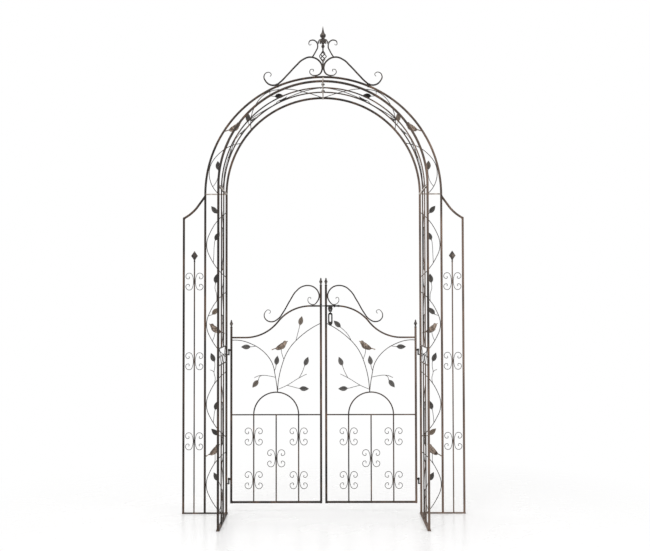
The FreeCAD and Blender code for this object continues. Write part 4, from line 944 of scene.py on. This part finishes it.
def drawn_out(name):
    """A packed wire node, a little fuller, and each free end forged down to a share of its thickness."""
    whole = bmesh.new()
    welds = [Vector(seat[0]) for seat in seats_of_body[body_of_node[name]]]
    for points, corners in islands(name):
        work = bmesh.new()
        spots = [work.verts.new(point) for point in points]
        for corner in corners:
            if len(set(corner)) == 3:
                work.faces.new([spots[k] for k in corner])
        work.normal_update()
        work.verts.index_update()
        links = [[edge.other_vert(vert).index for edge in vert.link_edges] for vert in spots]
        rims = {vert.index for edge in work.edges if edge.is_manifold and edge.calc_face_angle() > end_edge
                for vert in edge.verts}
        pull = np.array([vert.normal for vert in spots]) * fuller
        thinning = min(drawn_length, drawn_reach * np.ptp(points, axis=0).max())
        while rims:
            rim, waiting = set(), [rims.pop()]
            while waiting:
                here = waiting.pop()
                rim.add(here)
                beside = rims.intersection(links[here])
                rims -= beside
                waiting.extend(beside)
            centre = points[list(rim)].mean(axis=0)
            radius = np.linalg.norm(points[list(rim)] - centre, axis=1).mean()
            if any((Vector(centre) - weld).length < 3 * radius for weld in welds):
                continue
            reach = way_from(list(rim), links, points)
            for k in np.flatnonzero(reach < thinning):
                near = 1 - reach[k] / thinning
                inward = -np.array(spots[k].normal) * radius
                if reach[k] < 0.2 * radius:
                    inward = centre - points[k]
                inward *= 1 + fuller / radius
                pull[k] += inward * (1 - drawn_share) * near * near * (3 - 2 * near)
        for vert, shift in zip(spots, pull):
            vert.co += Vector(shift)
        part = bpy.data.meshes.new("part")
        work.to_mesh(part)
        work.free()
        whole.from_mesh(part)
        bpy.data.meshes.remove(part)
    return mesh_from(name, whole)


for name in ("crest_scrolls", "gate_left_crest_scroll", "gate_right_crest_scroll"):
    stand_in(name, f"forged_{name}", drawn_out(name), wire_paint, 45)


# Collars that hold the big scrolls' feet to the outer hoop

collar_length, collar_wall, collar_gap = 9.0, 1.6, 0.1
# height and radius of the hoop and of the scroll, from where they meet
collar_rods = ((-6.0, 6.0), (4.0, 4.0))
# share of the length and of the wall, round the collar's section
collar_section = ((-0.5, 0.25), (-0.42, 1.0), (0.42, 1.0), (0.5, 0.25), (0.5, 0.0), (-0.5, 0.0))
scroll_foot_near, scroll_foot_far = 0.2, 0.32  # the big scrolls' feet lie between these places to the side


def collar_mesh():
    """A band bent round a hoop and a scroll."""
    work = bmesh.new()
    rings = []
    for (height, rod), first in zip(collar_rods, (pi, 0.0)):
        for step in range(13):
            turn = first + pi * step / 12
            ring = []
            for along, out in collar_section:
                reach = rod + collar_gap + collar_wall * out
                ring.append(mm(along * collar_length, -reach * cos(turn), height + reach * sin(turn)))
            rings.append(ring)
    skin(work, rings, looped=True)
    return mesh_from("collar_pattern", work)


collar_seats = []
for middle, _, facing, _, kinds in seats_of_body["arch"]:
    beside = scroll_foot_near < abs(middle[0]) < scroll_foot_far
    if kinds == {"scrolls", "hoops"} and middle[2] > crown_from and beside:
        out = Vector((facing[0], 0.0, facing[2])).normalized()
        collar_seats.append((middle, tuple(Vector((0, 1, 0)).cross(out)), tuple(out), plain_size))
collar_pattern = bpy.data.objects.new("collar_pattern", collar_mesh())
collars_mesh = repeated("collars", collar_pattern, collar_seats, 61, latch_paint)
add_piece("crest_collars", collars_mesh, latch_paint, "arch", 40)


# Handle of the latch

# inner and outer place across and above the pin, and half thickness, from the top round to the point
handle_stations = [(0.0, -19.5, 0.0, -8.5, 2.6), (2.4, -20.2, 4.8, -9.6, 2.6),
                   (4.2, -22.2, 9.6, -13.0, 2.7), (4.7, -25.0, 11.8, -17.5, 2.8),
                   (4.8, -32.0, 12.2, -27.0, 2.8), (4.8, -41.0, 12.2, -40.0, 2.8),
                   (4.8, -50.0, 12.2, -51.0, 2.9), (4.6, -55.0, 12.6, -59.0, 3.3),
                   (3.6, -58.0, 12.0, -66.0, 4.0), (2.0, -59.0, 9.2, -73.0, 4.5),
                   (0.8, -59.3, 4.8, -79.5, 4.2), (0.0, -59.4, 0.0, -82.0, 3.4)]
# share of the way out and of the half thickness, round the loop's section
handle_section = [(0.0, 0.5), (0.10, 0.9), (0.5, 1.0), (0.90, 0.9), (1.0, 0.5), (1.0, -0.5), (0.90, -0.9),
                  (0.5, -1.0), (0.10, -0.9), (0.0, -0.5)]
# radius and place along the pin, round the eye's section
handle_eye = [(1.6, -2.4), (4.0, -2.5), (4.5, -2.0), (4.6, 0.0), (4.5, 2.0), (4.0, 2.5), (1.6, 2.4)]
handle_neck = ((-3.6, 2.5), (-6.0, 2.3), (-8.5, 2.6), (-11.0, 4.2))  # height above the pin, half width
handle_pin = Vector(next(joint for joint in frame["joints"] if joint["name"] == "handle_swing")["pos_m"])


def handle_mesh():
    """A cast loop with a heavy point, hung on an eye."""
    work = bmesh.new()
    half = smooth_profile(handle_stations)
    stations = half + [(-a, b, -c, d, thick) for a, b, c, d, thick in half[-2:0:-1]]
    skin(work, [[mm(a + s * (c - a), thick * v, b + s * (d - b)) for s, v in handle_section]
                for a, b, c, d, thick in stations], looped=True)
    skin(work, [[mm(x, r * cos(turn), r * sin(turn)) for r, x in handle_eye] for turn in turns(28)],
         looped=True)
    skin(work, [[mm(wide * cos(turn), 2.3 * sin(turn), height) for turn in turns(16)]
                for height, wide in handle_neck])
    bmesh.ops.translate(work, verts=work.verts, vec=handle_pin)
    return mesh_from("handle", work)


stand_in("latch_handle", "cast_latch_handle", handle_mesh(), latch_paint, 40)


# Bolt of the latch, with its block, its knob and the handle's pin

bolt_low, bolt_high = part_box("latch_bolt")
bolt_axis = Vector((0.0, handle_pin.y, handle_pin.z + 27 * MM))
knob_half_length, knob_seat = 6, 9.0  # half of the knob, and where the rod ends in it
knob_profile = [(3.0, -6.6), (4.6, -5.4), (5.8, -3.0), (6.0, 0.0), (5.8, 3.0), (4.6, 4.9), (2.4, 5.8),
                (0.8, 6.0)]
pin_profile = [(1.0, -10.4), (2.2, -10.1), (2.4, -9.2), (1.5, -8.9), (1.5, 8.9), (2.4, 9.2), (2.2, 10.1),
               (1.0, 10.4)]
# low and high corners of the block's parts, across, behind and above the pin
block_parts = [((-11.0, -6.0, 18.0), (11.0, 6.0, 32.0)), ((-12.6, -6.2, 5.6), (12.6, 6.2, 18.6)),
               ((-9.0, -5.6, -5.0), (-2.8, 5.6, 6.4)), ((2.8, -5.6, -5.0), (9.0, 5.6, 6.4))]
block_edge = 0.9


def soft_block(work, low, high):
    """A block with its edges taken off."""
    rings = []
    for height, less in ((low[2], block_edge), (low[2] + block_edge, 0.0), (high[2] - block_edge, 0.0),
                         (high[2], block_edge)):
        x0, x1, y0, y1 = low[0] + less, high[0] - less, low[1] + less, high[1] - less
        corners = ((x0 + block_edge, y0), (x1 - block_edge, y0), (x1, y0 + block_edge), (x1, y1 - block_edge),
                   (x1 - block_edge, y1), (x0 + block_edge, y1), (x0, y1 - block_edge), (x0, y0 + block_edge))
        rings.append([mm(x, y, height) for x, y in corners])
    skin(work, rings)


def bolt_of_latch():
    """A round bolt with a domed tip, its block and ears, a fluted knob, and the riveted pin of the handle."""
    work = bmesh.new()
    for low, high in block_parts:
        soft_block(work, low, high)
    bmesh.ops.translate(work, verts=work.verts, vec=handle_pin)
    tip, end = bolt_low.x / MM, bolt_high.x / MM
    rod = [(1.6, tip), (2.7, tip + 0.5), (3.0, tip + 1.5), (3.0, end - knob_seat)]
    lathe(work, rod, 28, Matrix.Translation(bolt_axis) @ along_x)
    knob = bolt_axis + Vector((bolt_high.x - knob_half_length * MM, 0, 0))
    lathe(work, smooth_profile(knob_profile, 2), 48, Matrix.Translation(knob) @ along_x, (12, 0.07, 0, 3.4))
    lathe(work, pin_profile, 20, Matrix.Translation(handle_pin) @ along_x)
    return mesh_from("bolt", work)


stand_in("latch_bolt", "forged_latch_bolt", bolt_of_latch(), latch_paint, 35)


# Studio

floor_reach, floor_squares, floor_drop = 14.0, 40, 0.4 * MM
floor_fades_from, floor_fades_to = 0.9, 2.4  # from the arch's middle, to the white background
photo_width, photo_focal, sensor_width = 650, 954.43, 36.0  # the first two in pixels
camera_place = (0.01865, -5.0212, 1.1372)
camera_turn = (0.106, 1.714, 0.107)  # yaw, pitch and roll in degrees


def seen_directly(add):
    """1 for rays from the camera and those that mirrors and glass pass on, else 0."""
    rays = add("ShaderNodeLightPath", out=None)
    seen = maths(add, "MAXIMUM", rays["Is Camera Ray"], rays["Is Glossy Ray"])
    return maths(add, "MAXIMUM", seen, rays["Is Transmission Ray"])


def studio_floor():
    """A pale, slightly glossy floor that fades into the white background away from the arch."""
    work = bmesh.new()
    bmesh.ops.create_grid(work, x_segments=floor_squares, y_segments=floor_squares, size=floor_reach)
    bmesh.ops.translate(work, verts=work.verts, vec=(0, 0, -floor_drop))
    mesh = bpy.data.meshes.new("studio_floor")
    work.to_mesh(mesh)
    work.free()
    floor = in_scene("studio_floor", mesh)
    finish, add = finish_nodes("studio_floor_paint")
    place = add("ShaderNodeTexCoord", out="Object")
    far = add("ShaderNodeVectorMath", {0: place}, "Value", operation="LENGTH")
    mottle = add("ShaderNodeTexNoise", {"Vector": place, "Scale": 3.0, "Detail": 3.0}, "Fac")
    colour = blend_colours(add, mottle, (0.935, 0.935, 0.938), (0.955, 0.955, 0.955))
    gloss = span(add, mottle, 0.3, 0.7, 0.22, 0.30)
    matt = add("ShaderNodeBsdfPrincipled", {"Base Color": colour, "Roughness": gloss,
                                            "Specular IOR Level": 0.12})
    white = add("ShaderNodeEmission", {"Color": (1, 1, 1, 1), "Strength": 1.0})
    share = times(add, ramp(add, far, floor_fades_from, floor_fades_to), seen_directly(add))
    add("ShaderNodeOutputMaterial", {"Surface": add("ShaderNodeMixShader", {0: share, 1: matt, 2: white})})
    mesh.materials.append(finish)


def studio_world(strength):
    """Even light from all round, and pure white where the background itself is seen."""
    world = bpy.data.worlds.new("studio")
    bpy.context.scene.world = world
    world.use_nodes = True
    world.node_tree.nodes.clear()
    add = adder(world.node_tree)
    light = add("ShaderNodeBackground", {"Color": (1.0, 0.995, 0.985, 1), "Strength": strength})
    white = add("ShaderNodeBackground", {"Color": (1, 1, 1, 1), "Strength": 1.0})
    both = add("ShaderNodeMixShader", {0: seen_directly(add), 1: light, 2: white})
    add("ShaderNodeOutputWorld", {"Surface": both})


def studio_lamp(name, place, aim, power, width, height):
    """A soft box that shines on a place."""
    lamp = bpy.data.lights.new(name, "AREA")
    lamp.shape = "RECTANGLE"
    lamp.size, lamp.size_y, lamp.energy = width, height, power
    holder = in_scene(name, lamp)
    holder.location = place
    holder.rotation_euler = (Vector(aim) - Vector(place)).to_track_quat("-Z", "Y").to_euler()


def studio_camera():
    """The camera of the photograph."""
    yaw, pitch, roll = (radians(angle) for angle in camera_turn)
    axes = Matrix.Rotation(yaw, 3, "Z") @ Matrix.Rotation(pitch, 3, "X") @ Matrix.Rotation(roll, 3, "Y")
    right, ahead, above = axes.col[0], axes.col[1], axes.col[2]
    camera = bpy.data.cameras.new("studio_camera")
    camera.sensor_width = sensor_width
    camera.lens = photo_focal / photo_width * sensor_width
    camera.clip_start, camera.clip_end = 0.1, 60.0
    holder = in_scene("studio_camera", camera)
    turn = Matrix((right, above, -ahead)).transposed()
    holder.matrix_world = Matrix.Translation(camera_place) @ turn.to_4x4()
    bpy.context.scene.camera = holder


studio_floor()
studio_world(0.60)
studio_lamp("front_lamp", (-1.8, -4.2, 3.4), (0, 0, 1.2), 90.0, 2.2, 1.6)
studio_lamp("side_lamp", (3.2, -2.6, 2.2), (0, 0, 1.2), 45.0, 1.6, 2.2)
studio_lamp("top_lamp", (0.0, 0.3, 4.6), (0, 0, 0), 40.0, 3.0, 2.0)
studio_lamp("back_lamp", (-1.5, 3.8, 3.0), (0, 0, 1.4), 40.0, 2.0, 1.6)
studio_camera()
bpy.context.scene.view_settings.view_transform = "Standard"
